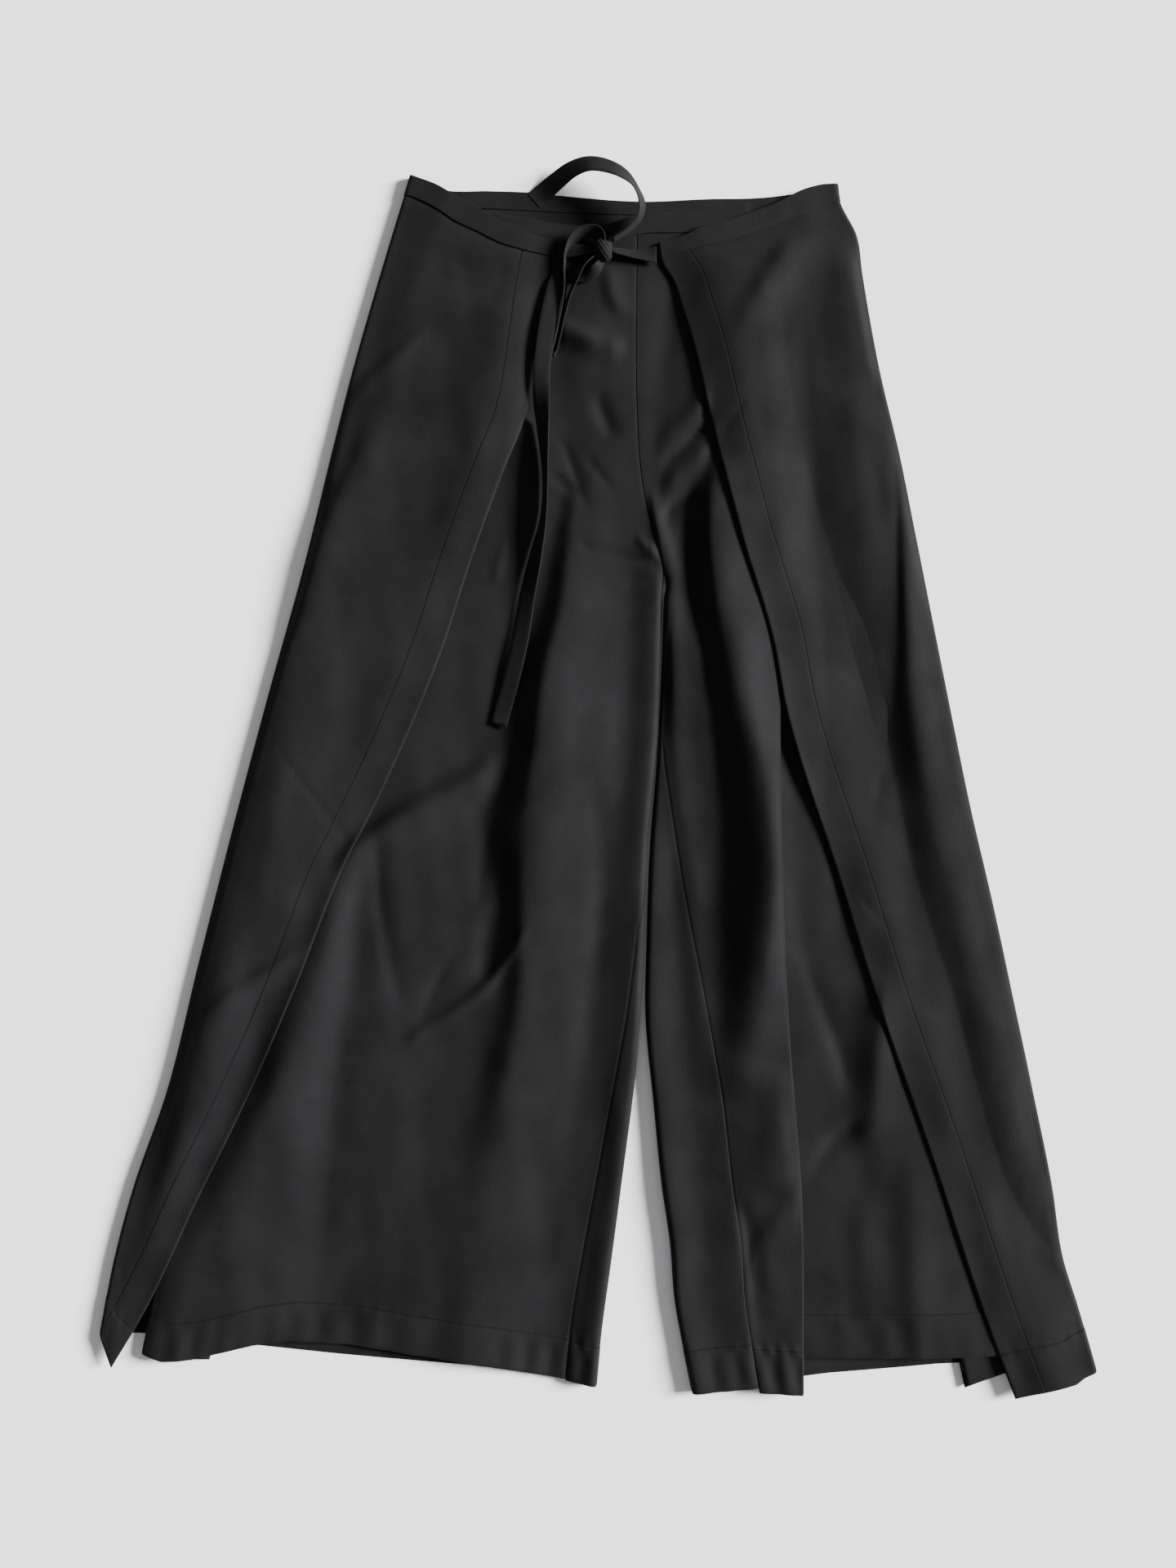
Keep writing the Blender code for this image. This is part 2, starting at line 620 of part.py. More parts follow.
# Ties, as rows of (across, down, height, tilt in degrees, width). Flat is a tilt of 0, and 90 stands on edge.
# The height of the tail's rows is how far it is lifted off the cloth that it lies on.
TIES = {
    "right_tie": [(-33.2, 64.0, 10.6, 0, 11.5), (-24, 63, 11.4, 8, 11.5), (-12, 61.5, 13.5, 20, 9.5),
                  (-1.2, 61, 15.4, 30, 6)],
    "left_tie": [(50.0, 65.5, 11.2, 0, 12.5), (42, 65, 12.4, -15, 12), (30, 63, 14.6, -35, 9.5),
                 (13.3, 62, 16.2, -45, 6)],
    "bow_loop": [(4, 53.4, 19.4, 80, 7), (5, 45, 20.6, 75, 12), (1, 38, 21.5, 50, 14),
                 (-12, 37.5, 22, 45, 15), (-23, 44, 22.4, 75, 15), (-28, 58, 22.8, 88, 15),
                 (-28.5, 74, 23, 90, 15), (-27.5, 88, 23.2, 90, 15), (-30, 107, 23.6, 90, 15),
                 (-34, 130, 23.6, 90, 15), (-37, 152, 23.6, 90, 15), (-38, 161, 23.6, 90, 15),
                 (-36, 163.5, 23.6, 90, 15), (-34.2, 160, 23.6, 90, 15), (-32, 145, 23.6, 90, 15),
                 (-28.5, 124, 23.6, 90, 15), (-24, 105, 23.4, 90, 15), (-18.5, 90, 23, 90, 15),
                 (-13.5, 78, 22.4, 90, 13), (-8.5, 71, 21.2, 80, 9), (-2.2, 66.4, 20, 70, 5)],
    "tie_tail": [(4, 71.2, 6.6, 30, 6), (0.5, 77.5, 4.0, 45, 10), (-4, 86, 1.6, 40, 12), (-12, 92, 0.4, 20, 14),
                 (-24, 95, 0, 4, 14), (-36, 101, 0, 0, 15), (-42.8, 120, 0, 3, 15),
                 (-46.4, 145, 0, 6, 15), (-47.8, 166, 0, 10, 14.5), (-46, 190, 0, 35, 15),
                 (-45.4, 215, 0, 60, 15), (-44.5, 240, 0, 84, 15), (-43.8, 268, 0, 90, 15),
                 (-45.5, 296, 0, 84, 15), (-51.5, 324, 0, 55, 15), (-59, 358, 0, 30, 15),
                 (-66, 400, 0, 20, 15), (-76, 440, 0, 10, 14.5), (-84.5, 470, 0, 0, 14)],
    "back_strap": [(-47.5, 31, 2.8, 0, 15), (-46.5, 18, 3.0, 0, 15.5), (-37, 6, 4.2, 8, 16),
                   (-24, -6, 6.4, 18, 16), (-8, -11.6, 8.6, 32, 16), (8, -9, 11.4, 45, 15.5),
                   (22, -2.5, 14.6, 62, 15.5), (32, 8, 17.6, 78, 15), (38, 22, 20.0, 60, 15),
                   (36.5, 33, 21.0, 80, 14), (26, 44, 21.4, 88, 12), (12.5, 53.4, 21.2, 80, 8)],
}
TIE_STEPS = 3


def tie_path(rows):
    """The rows of a tie, read as a smooth line with steps between them."""
    table = np.array(rows, float)
    at = np.concatenate([[0], np.cumsum(np.linalg.norm(np.diff(table[:, :3], axis=0), axis=1))])
    fine = np.interp(np.arange(0, len(at) - 1 + 1e-9, 1 / TIE_STEPS), np.arange(len(at)), at)
    return np.stack([curve(np.stack([at, column], axis=1))(fine) for column in table.T], axis=1)


def cloth_under(x, down):
    """The top of the cloth that the tail lies on: the right front panel, or the overwrap beside it."""
    on_top = 1 - smooth(x - FREE_EDGE["right"](down), 0, 4)
    low = front_height("right", x, down)
    high = np.maximum(over_height("right", x, down), low)
    return low * (1 - on_top) + high * on_top + CLOTH / 2


def resting(across, down, tilt, wide):
    """The height at which a turned strap just clears the cloth under its whole width."""
    slant = np.abs(np.sin(np.radians(tilt)))
    reach = wide / 2 * np.sqrt(1 - slant**2) + 1
    run, fall = np.gradient(across), np.gradient(down)
    long = np.hypot(run, fall)
    under = [cloth_under(across - reach * share * fall / long, down + reach * share * run / long)
             for share in (-1, -0.5, 0, 0.5, 1)]
    clear = np.max(under, axis=0)
    for _ in range(2):
        clear = np.maximum(clear, np.maximum(np.roll(clear, 1), np.roll(clear, -1)) - 0.8)
    return clear + REST_GAP + wide / 2 * slant + TIE_CLOTH / 2


def tie(name):
    """A flat strap: a thin rectangle carried along its path, turned about the path by its tilt."""
    across, down, height, tilt, wide = tie_path(TIES[name]).T
    if name == "tie_tail":
        height = height + resting(across, down, tilt, wide)
    path = np.stack([across, WAIST_Y - down, height], axis=1)
    forward = np.gradient(path, axis=0)
    forward /= np.linalg.norm(forward, axis=1, keepdims=True)
    level = np.cross(forward, [0, 0, 1.0])
    level /= np.linalg.norm(level, axis=1, keepdims=True)
    upright = np.cross(level, forward)
    turn = np.radians(tilt)[:, None]
    breadth = level * np.cos(turn) + upright * np.sin(turn)
    face = np.cross(forward, breadth)
    half, thin = (wide / 2)[:, None], TIE_CLOTH / 2
    corners = [path + breadth * half * a + face * thin * b for a, b in ((1, 1), (-1, 1), (-1, -1), (1, -1))]
    points = np.stack(corners, axis=1)
    rings = np.arange(points.shape[0] * 4).reshape(-1, 4)
    around = np.roll(rings, -1, axis=1)
    sides = np.stack([rings[:-1], rings[1:], around[1:], around[:-1]], axis=-1).reshape(-1, 4)
    faces = np.concatenate([sides, rings[:1], rings[-1:, ::-1]])
    return add_object(name, points.reshape(-1, 3), faces)


def knot():
    """An egg whose skin swells in a slanted band, where one tie crosses over the other."""
    rings, spokes = 9, 16
    polar = np.linspace(0, np.pi, rings + 1)[1:-1, None]
    round_ = np.linspace(0, 2 * np.pi, spokes, endpoint=False)[None, :]
    way = np.stack([np.sin(polar) * np.cos(round_), np.sin(polar) * np.sin(round_),
                    np.cos(polar) + 0 * round_], axis=-1).reshape(-1, 3)
    way = np.concatenate([way, [[0, 0, 1], [0, 0, -1]]])
    off = way @ (KNOT_WRAP / np.linalg.norm(KNOT_WRAP))
    swell = 0.86 + 0.14 * np.exp(-((off / 0.5) ** 4))
    points = way * KNOT_SIZE * swell[:, None] + KNOT * [1, -1, 1] + [0, WAIST_Y, 0]
    grid = np.arange((rings - 1) * spokes).reshape(rings - 1, spokes)
    after = np.roll(grid, -1, axis=1)
    sides = np.stack([grid[:-1], grid[1:], after[1:], after[:-1]], axis=-1).reshape(-1, 4).tolist()
    north, south = len(points) - 2, len(points) - 1
    caps = [[north, a, b] for a, b in zip(grid[0], after[0])]
    caps += [[south, b, a] for a, b in zip(grid[-1], after[-1])]
    return add_object("knot", points, sides + caps)


def build():
    for thing in list(bpy.data.objects):
        bpy.data.objects.remove(thing, do_unlink=True)
    wall("back_right_leg", back_panel("right"), CLOTH)
    wall("back_left_leg", back_panel("left"), CLOTH)
    wall("front_right_leg", right_front_panel(), CLOTH)
    wall("front_left_leg", left_front_panel(), CLOTH)
    wall("outer_waistband", outer_band(), BAND_CLOTH)
    wall("inner_waistband", inner_band(), BAND_CLOTH)
    knot()
    for name in TIES:
        tie(name)


build()
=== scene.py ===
"""Wrap pants in black twill, laid flat on a pale floor with the front up and the two ties in a bow knot.

Sizes are in millimetres until a mesh is made. A place on the cloth is given by how far down it is from the
highest corner of the waist, and how far across from the middle, positive towards the wearer's left leg, which
is on the right of the picture. Right and left are always the wearer's.
"""

import bmesh
import bpy
import numpy as np
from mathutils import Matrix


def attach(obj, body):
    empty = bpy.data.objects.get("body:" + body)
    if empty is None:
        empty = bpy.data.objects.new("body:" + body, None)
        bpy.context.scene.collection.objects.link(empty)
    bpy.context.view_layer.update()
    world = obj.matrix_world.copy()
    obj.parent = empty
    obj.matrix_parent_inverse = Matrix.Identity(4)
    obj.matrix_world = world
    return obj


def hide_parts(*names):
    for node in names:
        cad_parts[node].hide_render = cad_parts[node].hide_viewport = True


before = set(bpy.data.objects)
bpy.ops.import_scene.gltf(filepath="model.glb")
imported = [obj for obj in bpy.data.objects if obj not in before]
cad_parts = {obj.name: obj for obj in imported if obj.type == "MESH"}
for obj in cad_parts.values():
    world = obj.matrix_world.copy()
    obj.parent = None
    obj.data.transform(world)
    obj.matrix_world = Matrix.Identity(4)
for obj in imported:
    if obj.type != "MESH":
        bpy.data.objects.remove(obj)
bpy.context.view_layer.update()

# The camera
# It hangs straight above the laid garment, a little left of its middle, with the waist at the top of the
# picture. The lens is worked out from how much of the floor the picture's long side takes in.
CAMERA_PLACE = (-0.0087, -0.0071, 1.30)
FLOOR_IN_PICTURE = 1.344
FILM = 36.0


def in_scene(name, data):
    """A new object that holds the data, linked into the scene."""
    made = bpy.data.objects.new(name, data)
    bpy.context.scene.collection.objects.link(made)
    return made


camera = in_scene("camera", bpy.data.cameras.new("camera"))
camera.location = CAMERA_PLACE
camera.data.sensor_width = FILM
camera.data.lens = FILM * CAMERA_PLACE[2] / FLOOR_IN_PICTURE
bpy.context.scene.camera = camera

# The floor and the lights
# A pale matt board, lit by a wide soft light that comes low from the right and a little from the waist end,
# and by a weak even light from all round.
FLOOR_HALF = 6.0
FLOOR_DROP = 0.0001
KEY_FROM = (3.0, 0.60, 1.26)
KEY_WIDE = 0.32
KEY_POWER = 22.0
ROUND_POWER = 0.42


def linear(hex_colour):
    """The linear colour of an sRGB hex value: each part is raised to 2.4 past a short straight start."""
    parts = [int(hex_colour[i:i + 2], 16) / 255 for i in (1, 3, 5)]
    return tuple(c / 12.92 if c <= 0.04045 else ((c + 0.055) / 1.055) ** 2.4 for c in parts) + (1.0,)


def new_material(name, sockets):
    """A material whose shader's sockets have the given values, and that shader."""
    material = bpy.data.materials.new(name)
    material.use_nodes = True
    shader = material.node_tree.nodes["Principled BSDF"]
    for socket, value in sockets.items():
        shader.inputs[socket].default_value = value
    return material, shader


board = bpy.data.meshes.new("board")
corners = ((-1, -1), (1, -1), (1, 1), (-1, 1))
board.from_pydata([(x * FLOOR_HALF, y * FLOOR_HALF, -FLOOR_DROP) for x, y in corners], [], [(0, 1, 2, 3)])
# matt pale paint on board: nearly white, with no gloss, so that it only takes soft shadows
board.materials.append(new_material("matt_white_paint", {
    "Base Color": linear("#e9e8e6"), "Roughness": 0.9, "Specular IOR Level": 0.1})[0])
floor = in_scene("floor", board)

key = in_scene("key", bpy.data.lights.new("key", "SUN"))
key.location = KEY_FROM
key.rotation_mode = "QUATERNION"
key.rotation_quaternion = key.location.to_track_quat("Z", "Y")
key.data.angle = KEY_WIDE
key.data.energy = KEY_POWER
surround = bpy.data.worlds.new("surround")
surround.use_nodes = True
surround.node_tree.nodes["Background"].inputs["Color"].default_value = linear("#f4f6fb")
surround.node_tree.nodes["Background"].inputs["Strength"].default_value = ROUND_POWER
bpy.context.scene.world = surround

# Right front panel
# Black twill, cut from the centre front seam and the inseam to a fold at the side, and on between the layers
# as an extension with a slanted edge. Its top is sewn into the inner band, and its hem is turned up once.
CLOTH = 0.6
HEM_TURN = 0.45
HEM_WAVE = 0.9
HEM_WAVE_LONG = 26.0
HEM_PUCKER = 0.35
HEM_PUCKER_LONG = 13.0
HEM_SLOW_LONG = 170.0
HEM_LIES = 1.5
HEM_LIFTED = 4.0
EDGE_THIN = 0.35
EDGE_WIDE = 2.4
SEAM_DIP = 0.6
SEAM_DIP_WIDE = 2.5
STITCH_LONG = 3.0
NO_STITCHES = 500.0
FACING = 0.08
FACING_WIDE = 26.5
LAYER = 2.3
FLOOR = CLOTH / 2
EXTENSION = FLOOR + LAYER
FRONT = EXTENSION + LAYER
WAIST_Y = 512.6
SHIFT_X = -0.5
MM = 0.001
CROTCH_DOWN = 338.0
SEAM_GAP = 0.3
INSEAM_SINK = 0.32
INSEAM_WIDE = 1.3
CENTRE_SEAM = 34.0
CENTRE_SINK = {"right": 0.384, "left": 0.064}
CENTRE_WIDE = 1.8
BELLY = 1.2
SWELLS = {"right": 3, "left": 4, "under": 5}
SEARCH_FROM = -60.0
SEARCH_LONG = 1160.0
HALVINGS = 34
TUCK = 4.0
LEG_GAP = 1.0
INNER_ROLL = {"right": 4.5, "left": 3.2}
ROLL_FROM = {"right": 278.0, "left": 470.0}
ROLL_GROWS = 80.0
INNER_ROLL_IN = 5.5
INNER_ROLL_WIDTH = 16.0
HEM_WIDE = {"right": 33.0, "left": 37.0}
ROWS_AT_TOP = np.array([0, 3.4, 4.4, 6, 9, 13, 18])
ROWS_AT_HEM = np.array([44, 40.5, 38.5, 36.5, 35, 33.5, 31.5, 28, 23, 18, 13, 8.5, 5, 2.5, 1, 0])
ROWS_BETWEEN = 238


def curve(table):
    """A smooth line through (at, value) rows: cubic pieces whose slope at a row is that of its neighbours."""
    at, value = np.array(table, float).T
    slope = np.gradient(value, at)

    def read(x):
        x = np.asarray(x, float)
        i = np.clip(np.searchsorted(at, x) - 1, 0, len(at) - 2)
        wide = at[i + 1] - at[i]
        t = np.clip((x - at[i]) / wide, 0, 1)
        past = x - at[i] - t * wide
        end_slope = np.where(past > 0, slope[i + 1], slope[i])
        h00, h10 = 2 * t**3 - 3 * t**2 + 1, t**3 - 2 * t**2 + t
        h01, h11 = 3 * t**2 - 2 * t**3, t**3 - t**2
        inside = h00 * value[i] + h10 * wide * slope[i] + h01 * value[i + 1] + h11 * wide * slope[i + 1]
        return inside + past * end_slope

    return read


def smooth(x, low, high):
    """0 below low, 1 above high, and an S-curve between them."""
    t = np.clip((x - low) / (high - low), 0, 1)
    return t * t * (3 - 2 * t)


def eased(at, value, x):
    """Passes through (at, value) with an S-curve between each two, and stays level past both ends."""
    i = np.clip(np.searchsorted(at, x) - 1, 0, len(at) - 2)
    t = np.clip((x - at[i]) / (at[i + 1] - at[i]), 0, 1)
    return value[i] + (value[i + 1] - value[i]) * t * t * (3 - 2 * t)


def relief(folds, x, down):
    """The height that folds add at a place, as a sum of bells; a trough has a negative height.

    A fold is the way it runs, how round it is, and rows of (place along it, place of its crest, height, half
    width before the crest, half width after it). The bell across it is exp(-(distance / half width)^round),
    so 2 gives a soft fold and 1.5 or less a creased one.
    """
    height = np.zeros(np.broadcast(x, down).shape)
    for way, round_, rows in folds:
        at, crest, high, before, after = np.array(rows, float).T
        along, over = (down, x) if way == "down" else (x, down)
        along, over = np.broadcast_to(along, height.shape), np.broadcast_to(over, height.shape)
        near = (along > at[0]) & (along < at[-1])
        if not near.any():
            continue
        line = curve(np.stack([at, crest], axis=1))(along[near])
        off = over[near] - line
        wide = np.where(off < 0, eased(at, before, along[near]), eased(at, after, along[near]))
        height[near] += eased(at, high, along[near]) * np.exp(-(np.abs(off / wide) ** round_))
    return height


def unevenness(x, down, seed):
    """The slight swells of laid cloth: nine long waves of different length and direction, added up."""
    draw = np.random.default_rng(seed)
    waves = np.zeros(np.broadcast(x, down).shape)
    for long in (190, 150, 120, 95, 75, 60, 48, 38, 30):
        turn, start = draw.uniform(-0.7, 0.7), draw.uniform(0, 2 * np.pi)
        along = x * np.cos(turn) + down * np.sin(turn) * 0.5
        waves = waves + long / 190 * np.sin(2 * np.pi * along / long + start)
    return 0.6 * waves


SIDE = {
    "right": curve([(0, -160), (17, -165), (53, -176), (93, -188), (170, -210), (229, -225), (331, -250),
                    (443, -281), (548, -309), (674, -341), (786, -369), (863, -396), (922, -412),
                    (989, -425)]),
    "left": curve([(8, 205), (22, 207), (51, 221), (84, 226), (163, 240), (240, 258), (310, 272), (380, 286),
                   (450, 300), (534, 317), (625, 338), (709, 356), (779, 371), (863, 388), (927, 398),
                   (965, 410), (1021, 426)]),
}
CENTRE = curve([(20, 34), (51, 34), (198, 34), (240, 36), (276, 41), (303, 48), (338, 56)])
INNER_LINE = {
    "right": curve([(303, 56), (338, 56), (415, 54), (498, 50), (572, 43), (655, 40), (737, 36), (863, 21),
                    (931, 12), (990, 4), (1033, 0)]),
    "left": curve([(303, 56), (338, 56), (415, 54), (498, 50), (572, 44), (655, 41), (715, 40), (793, 47),
                   (863, 54), (912, 61), (961, 65), (1000, 72), (1040, 80)]),
}
SIGN = {"right": -1.0, "left": 1.0}
TURN_UP = {
    "right": curve([(0, -3), (520, -3), (570, -0.5), (620, 3.5), (688, 9), (773, 17), (863, 22), (940, 26),
                    (1034, 27)]),
    "left": curve([(0, -3), (395, -3), (450, 0.5), (500, 6), (557, 19), (637, 36), (718, 53), (773, 58),
                   (863, 60), (941, 60), (1040, 57)]),
}
FRONT_FOLD = {
    "right": curve([(20, -156), (300, -232), (600, -306), (800, -348), (1006, -389)]),
    "left": curve([(20, 198), (300, 258), (600, 320), (800, 362), (1020, 402)]),
}
EXTENSION_EDGE = {
    "right": curve([(45, -66), (400, -168), (1012, -332)]),
    "left": curve([(45, 92), (400, 176), (1036, 314)]),
}
FRONT_TOP = curve([(-162, 31), (-130, 39), (-103, 47), (-64, 54), (-24, 60), (6, 59), (34, 51), (76, 49),
                   (118, 45), (165, 37), (202, 31)])
EXTENSION_TOP = {
    "right": curve([(-162, 31), (-66, 58)]),
    "left": curve([(92, 56), (202, 31)]),
}


def outline(table):
    """A hem through (across, down) rows in straight pieces, as a hem creases at its corners."""
    across, down = np.array(table, float).T
    return lambda x: np.interp(x, across, down)


FRONT_HEM = {
    "right": outline([(-389, 1006), (-371, 1012), (-346, 1010), (-293, 998), (-263, 995), (-218, 998),
                      (-148, 1008), (-92, 1016), (-26, 1028), (1, 1033)]),
    "left": outline([(80, 1040), (137, 1038), (175, 1040)]),
}
EXTENSION_HEM = {
    "right": outline([(-389, 1006), (-371, 1011), (-332, 1012)]),
    "left": outline([(314, 1036), (347, 1024), (402, 1006)]),
}
FRONT_FOLDS = {"right": [
    # the long ridge from the crotch down the middle of the leg, steep on its outer side
    ("down", 2, [(250, -18, 0, 8, 20), (282, -19, 4, 9, 26), (310, -22, 6.5, 11, 30), (345, -26, 9, 12, 34),
      (380, -31, 11, 13, 38), (411, -40, 12, 14, 44), (443, -46, 13, 14, 48), (485, -50, 13.5, 15, 50),
      (520, -55, 13, 19, 50), (555, -58, 12, 23, 46), (597, -60, 11, 17, 42), (632, -61, 9, 13, 40),
      (660, -62, 7.6, 12, 40), (702, -64, 7.2, 13, 38), (751, -71, 6.4, 16, 36), (800, -82, 6, 22, 36),
      (856, -92, 5.4, 30, 34), (905, -98, 5.2, 34, 32), (954, -103, 4.5, 30, 30), (1038, -109, 3, 28, 28)]),
    # the hollow right of that ridge, above the knee
    ("down", 2, [(521, -92, 0, 10, 10), (548, -98, -1.6, 14, 14), (583, -88, -2, 10, 12),
      (625, -84, -1.6, 8, 10), (667, -92, -2, 8, 10), (695, -95, 0, 8, 10)]),
    # the ridge beside the free edge of the overwrap, which widens to the hem
    ("down", 2, [(569, -211, 0, 16, 16), (611, -220, 4.3, 18, 14), (674, -236, 8.7, 22, 20),
      (711, -247, 10.2, 24, 26), (754, -261, 10.9, 24, 32), (794, -278, 10.9, 24, 44),
      (851, -306, 10.2, 26, 60), (888, -324, 8.7, 28, 70), (940, -348, 5.8, 26, 70),
      (1038, -369, 2.9, 24, 60)]),
    # the trough between the two
    ("down", 1.5, [(590, -196, 0, 10, 14), (618, -204, -2.2, 12, 16), (703, -215, -3.2, 14, 20),
      (788, -227, -3.5, 18, 24), (874, -232, -3.2, 22, 28), (945, -241, -2.2, 24, 28),
      (1024, -246, 0, 24, 28)]),
    # the slanting ridge across the thigh
    ("across", 2, [(-229, 590, 0, 10, 14), (-204, 573, 5.8, 10, 16), (-176, 553, 6.9, 10, 20),
      (-141, 535, 6.9, 12, 22), (-106, 516, 5.8, 12, 20), (-75, 495, 0, 10, 16)]),
    # creases that meet in a V above the knee
    ("down", 1.5, [(548, -189, 0, 5, 7), (583, -188, -1.6, 5, 8), (625, -186, -2, 5, 8),
      (660, -180, -1.8, 5, 8), (691, -174, -1.6, 5, 8), (716, -168, 0, 5, 7)]),
    ("down", 1.5, [(663, -123, 0, 5, 7), (674, -130, -1.2, 5, 8), (696, -141, -1.6, 5, 8),
      (718, -150, -1, 5, 7), (728, -155, 0, 5, 7)]),
    ("across", 1.5, [(-166, 740, 0, 5, 6), (-153, 732, 2.2, 5, 6), (-119, 711, 3.2, 5, 7),
      (-87, 683, 3.6, 5, 7), (-67, 653, 2.2, 5, 6), (-57, 639, 0, 5, 6)]),
    # a soft trough beside the inseam
    ("down", 2, [(506, -3, 0, 8, 10), (548, 2, -1.7, 10, 12), (646, 0, -2.2, 10, 12),
      (716, -7, -1.7, 12, 14), (788, -17, -1.7, 12, 14), (863, -22, 0, 12, 14)]),
    # creases fanned over the belly and the crotch
    ("down", 1.5, [(224, -32, 0, 3, 4), (233, -28, -1.2, 3, 4), (255, -20, -1.7, 3, 5),
      (275, -13, -1.2, 3, 4), (287, -8, 0, 3, 4)]),
    ("down", 1.5, [(236, -12, 0, 3, 4), (247, -5, -1.4, 3, 4), (259, 4, -1.4, 3, 4), (272, 13, 0, 3, 4)]),
    ("across", 1.5, [(-42, 254, 0, 3, 4), (-37, 258, -1.4, 3, 4), (-24, 267, -1.7, 3, 5),
      (-11, 274, 0, 3, 4)]),
    ("across", 1.5, [(-18, 315, 0, 3, 4), (-9, 319, -1.4, 3, 5), (20, 325, -2, 3, 5), (46, 330, -1.7, 3, 5),
      (56, 332, 0, 3, 4)]),
    ("across", 1.5, [(17, 349, 0, 3, 4), (30, 347, -1.2, 3, 4), (46, 347, -1.4, 3, 4), (56, 346, 0, 3, 4)]),
    ("across", 1.5, [(31, 307, 0, 3, 4), (39, 315, 2.2, 3, 5), (46, 320, 2.2, 3, 5), (52, 325, 0, 3, 4)]),
    # the dents below the knot
    ("across", 2, [(-42, 128, 0, 8, 10), (-26, 133, 5, 8, 12), (-8, 140, 6, 8, 12), (9, 144, 4.1, 8, 12),
      (27, 145, 0, 8, 10)]),
    ("down", 2, [(73, 11, 0, 6, 8), (89, 10, 2.9, 7, 10), (107, 14, 2.9, 7, 10), (126, 23, 0, 6, 8)]),
    ("down", 2, [(184, -1, 0, 5, 7), (198, 2, -2.2, 6, 8), (213, 8, -2.6, 6, 8), (229, 14, 0, 5, 7)]),
    # a thin pressed line beside the tie
    ("down", 1.5, [(306, -80, 0, 3, 3), (324, -82, 1.2, 3, 4), (341, -86, 1.2, 3, 4), (353, -88, 0, 3, 3)]),
    # dark pockets where the slanting ridge meets the long one
    ("down", 1.5, [(499, -73, 0, 8, 12), (518, -80, -3, 10, 16), (537, -88, -3.6, 12, 18),
      (562, -92, -2.6, 10, 16), (590, -98, -3, 10, 10), (611, -99, -1.6, 8, 10), (632, -101, 0, 6, 8)]),
    ("down", 2, [(618, -92, 0, 8, 10), (646, -95, -2.2, 9, 12), (674, -99, -2, 8, 12),
      (695, -102, 0, 8, 10)]),
], "left": [
    # the narrow roll that runs on from the centre seam beside the inseam
    ("down", 2, [(266, 46, 0, 4, 5), (289, 49, 2.6, 4, 7), (311, 53, 4, 4, 9), (338, 58, 4.6, 5, 11),
      (380, 62, 4.8, 6, 14), (429, 65, 4.8, 7, 20), (466, 67, 4.6, 10, 22), (508, 69, 4.2, 12, 20),
      (548, 74, 3.8, 12, 16), (604, 80, 3.4, 12, 12), (674, 83, 2.8, 12, 12), (730, 87, 1.8, 12, 12),
      (789, 91, 0, 12, 12)]),
    # the hollow between that roll and the big ridge
    ("down", 2, [(268, 77, 0, 8, 10), (296, 77, -2, 8, 12), (352, 83, -3.9, 8, 14), (422, 95, -4.5, 8, 20),
      (492, 104, -4.5, 10, 26), (548, 109, -4.5, 12, 28), (618, 111, -4.5, 14, 28),
      (674, 111, -3.9, 14, 26), (723, 109, -2.6, 14, 20), (761, 109, 0, 12, 16)]),
    # the big ridge that ends in the lengthwise fold
    ("down", 2, [(236, 104, 0, 8, 20), (261, 100, 5, 10, 24), (296, 97, 10, 12, 28), (352, 100, 13, 16, 30),
      (422, 113, 16, 24, 30), (471, 125, 18, 30, 26), (506, 136, 19, 36, 24), (548, 142, 19, 38, 22),
      (618, 144, 18, 38, 22), (661, 140, 15, 36, 22), (716, 132, 9, 30, 24), (758, 123, 4, 24, 24),
      (796, 118, 0, 20, 20)]),
    # the ridge and the pocket beside the lengthwise fold, at the shin
    ("down", 2, [(751, 146, 0, 22, 12), (779, 151, 3.2, 24, 14), (814, 154, 4, 26, 12),
      (849, 158, 3.2, 24, 12), (880, 163, 0, 22, 12)]),
    ("across", 2, [(121, 940, 0, 16, 20), (135, 917, 1.8, 16, 22), (149, 898, 2.1, 16, 24),
      (165, 880, 1.6, 16, 22), (177, 870, 0, 16, 18)]),
    ("down", 2, [(870, 122, 0, 6, 8), (898, 128, -2.6, 6, 10), (933, 132, -2.6, 6, 10),
      (968, 136, -1.3, 6, 10), (999, 139, 0, 6, 8)]),
    # creases and lobes fanned from the crotch
    ("across", 1.5, [(51, 247, 0, 3, 4), (62, 240, -1.6, 3, 5), (79, 226, -2.3, 3, 5), (93, 214, -2, 3, 5),
      (101, 206, 0, 3, 4)]),
    ("across", 2, [(46, 230, 0, 10, 12), (65, 219, 2.6, 12, 10), (83, 203, 3.2, 12, 10),
      (100, 188, 0, 10, 10)]),
    ("across", 2, [(51, 268, 0, 8, 8), (67, 257, 3.2, 10, 10), (84, 244, 3.9, 10, 12),
      (100, 234, 0, 8, 10)]),
    ("across", 2, [(52, 296, 0, 6, 8), (63, 285, -3.2, 7, 9), (77, 276, -3.2, 7, 9), (90, 270, 0, 6, 8)]),
    # the dark gap between the inner fold and the roll
    ("down", 2, [(303, 52, 0, 6, 5), (331, 55, -1.6, 8, 6), (380, 56, -1.8, 8, 6), (422, 56, -1.6, 10, 8),
      (464, 55, -1, 12, 10), (499, 53, 0, 12, 10)]),
]}


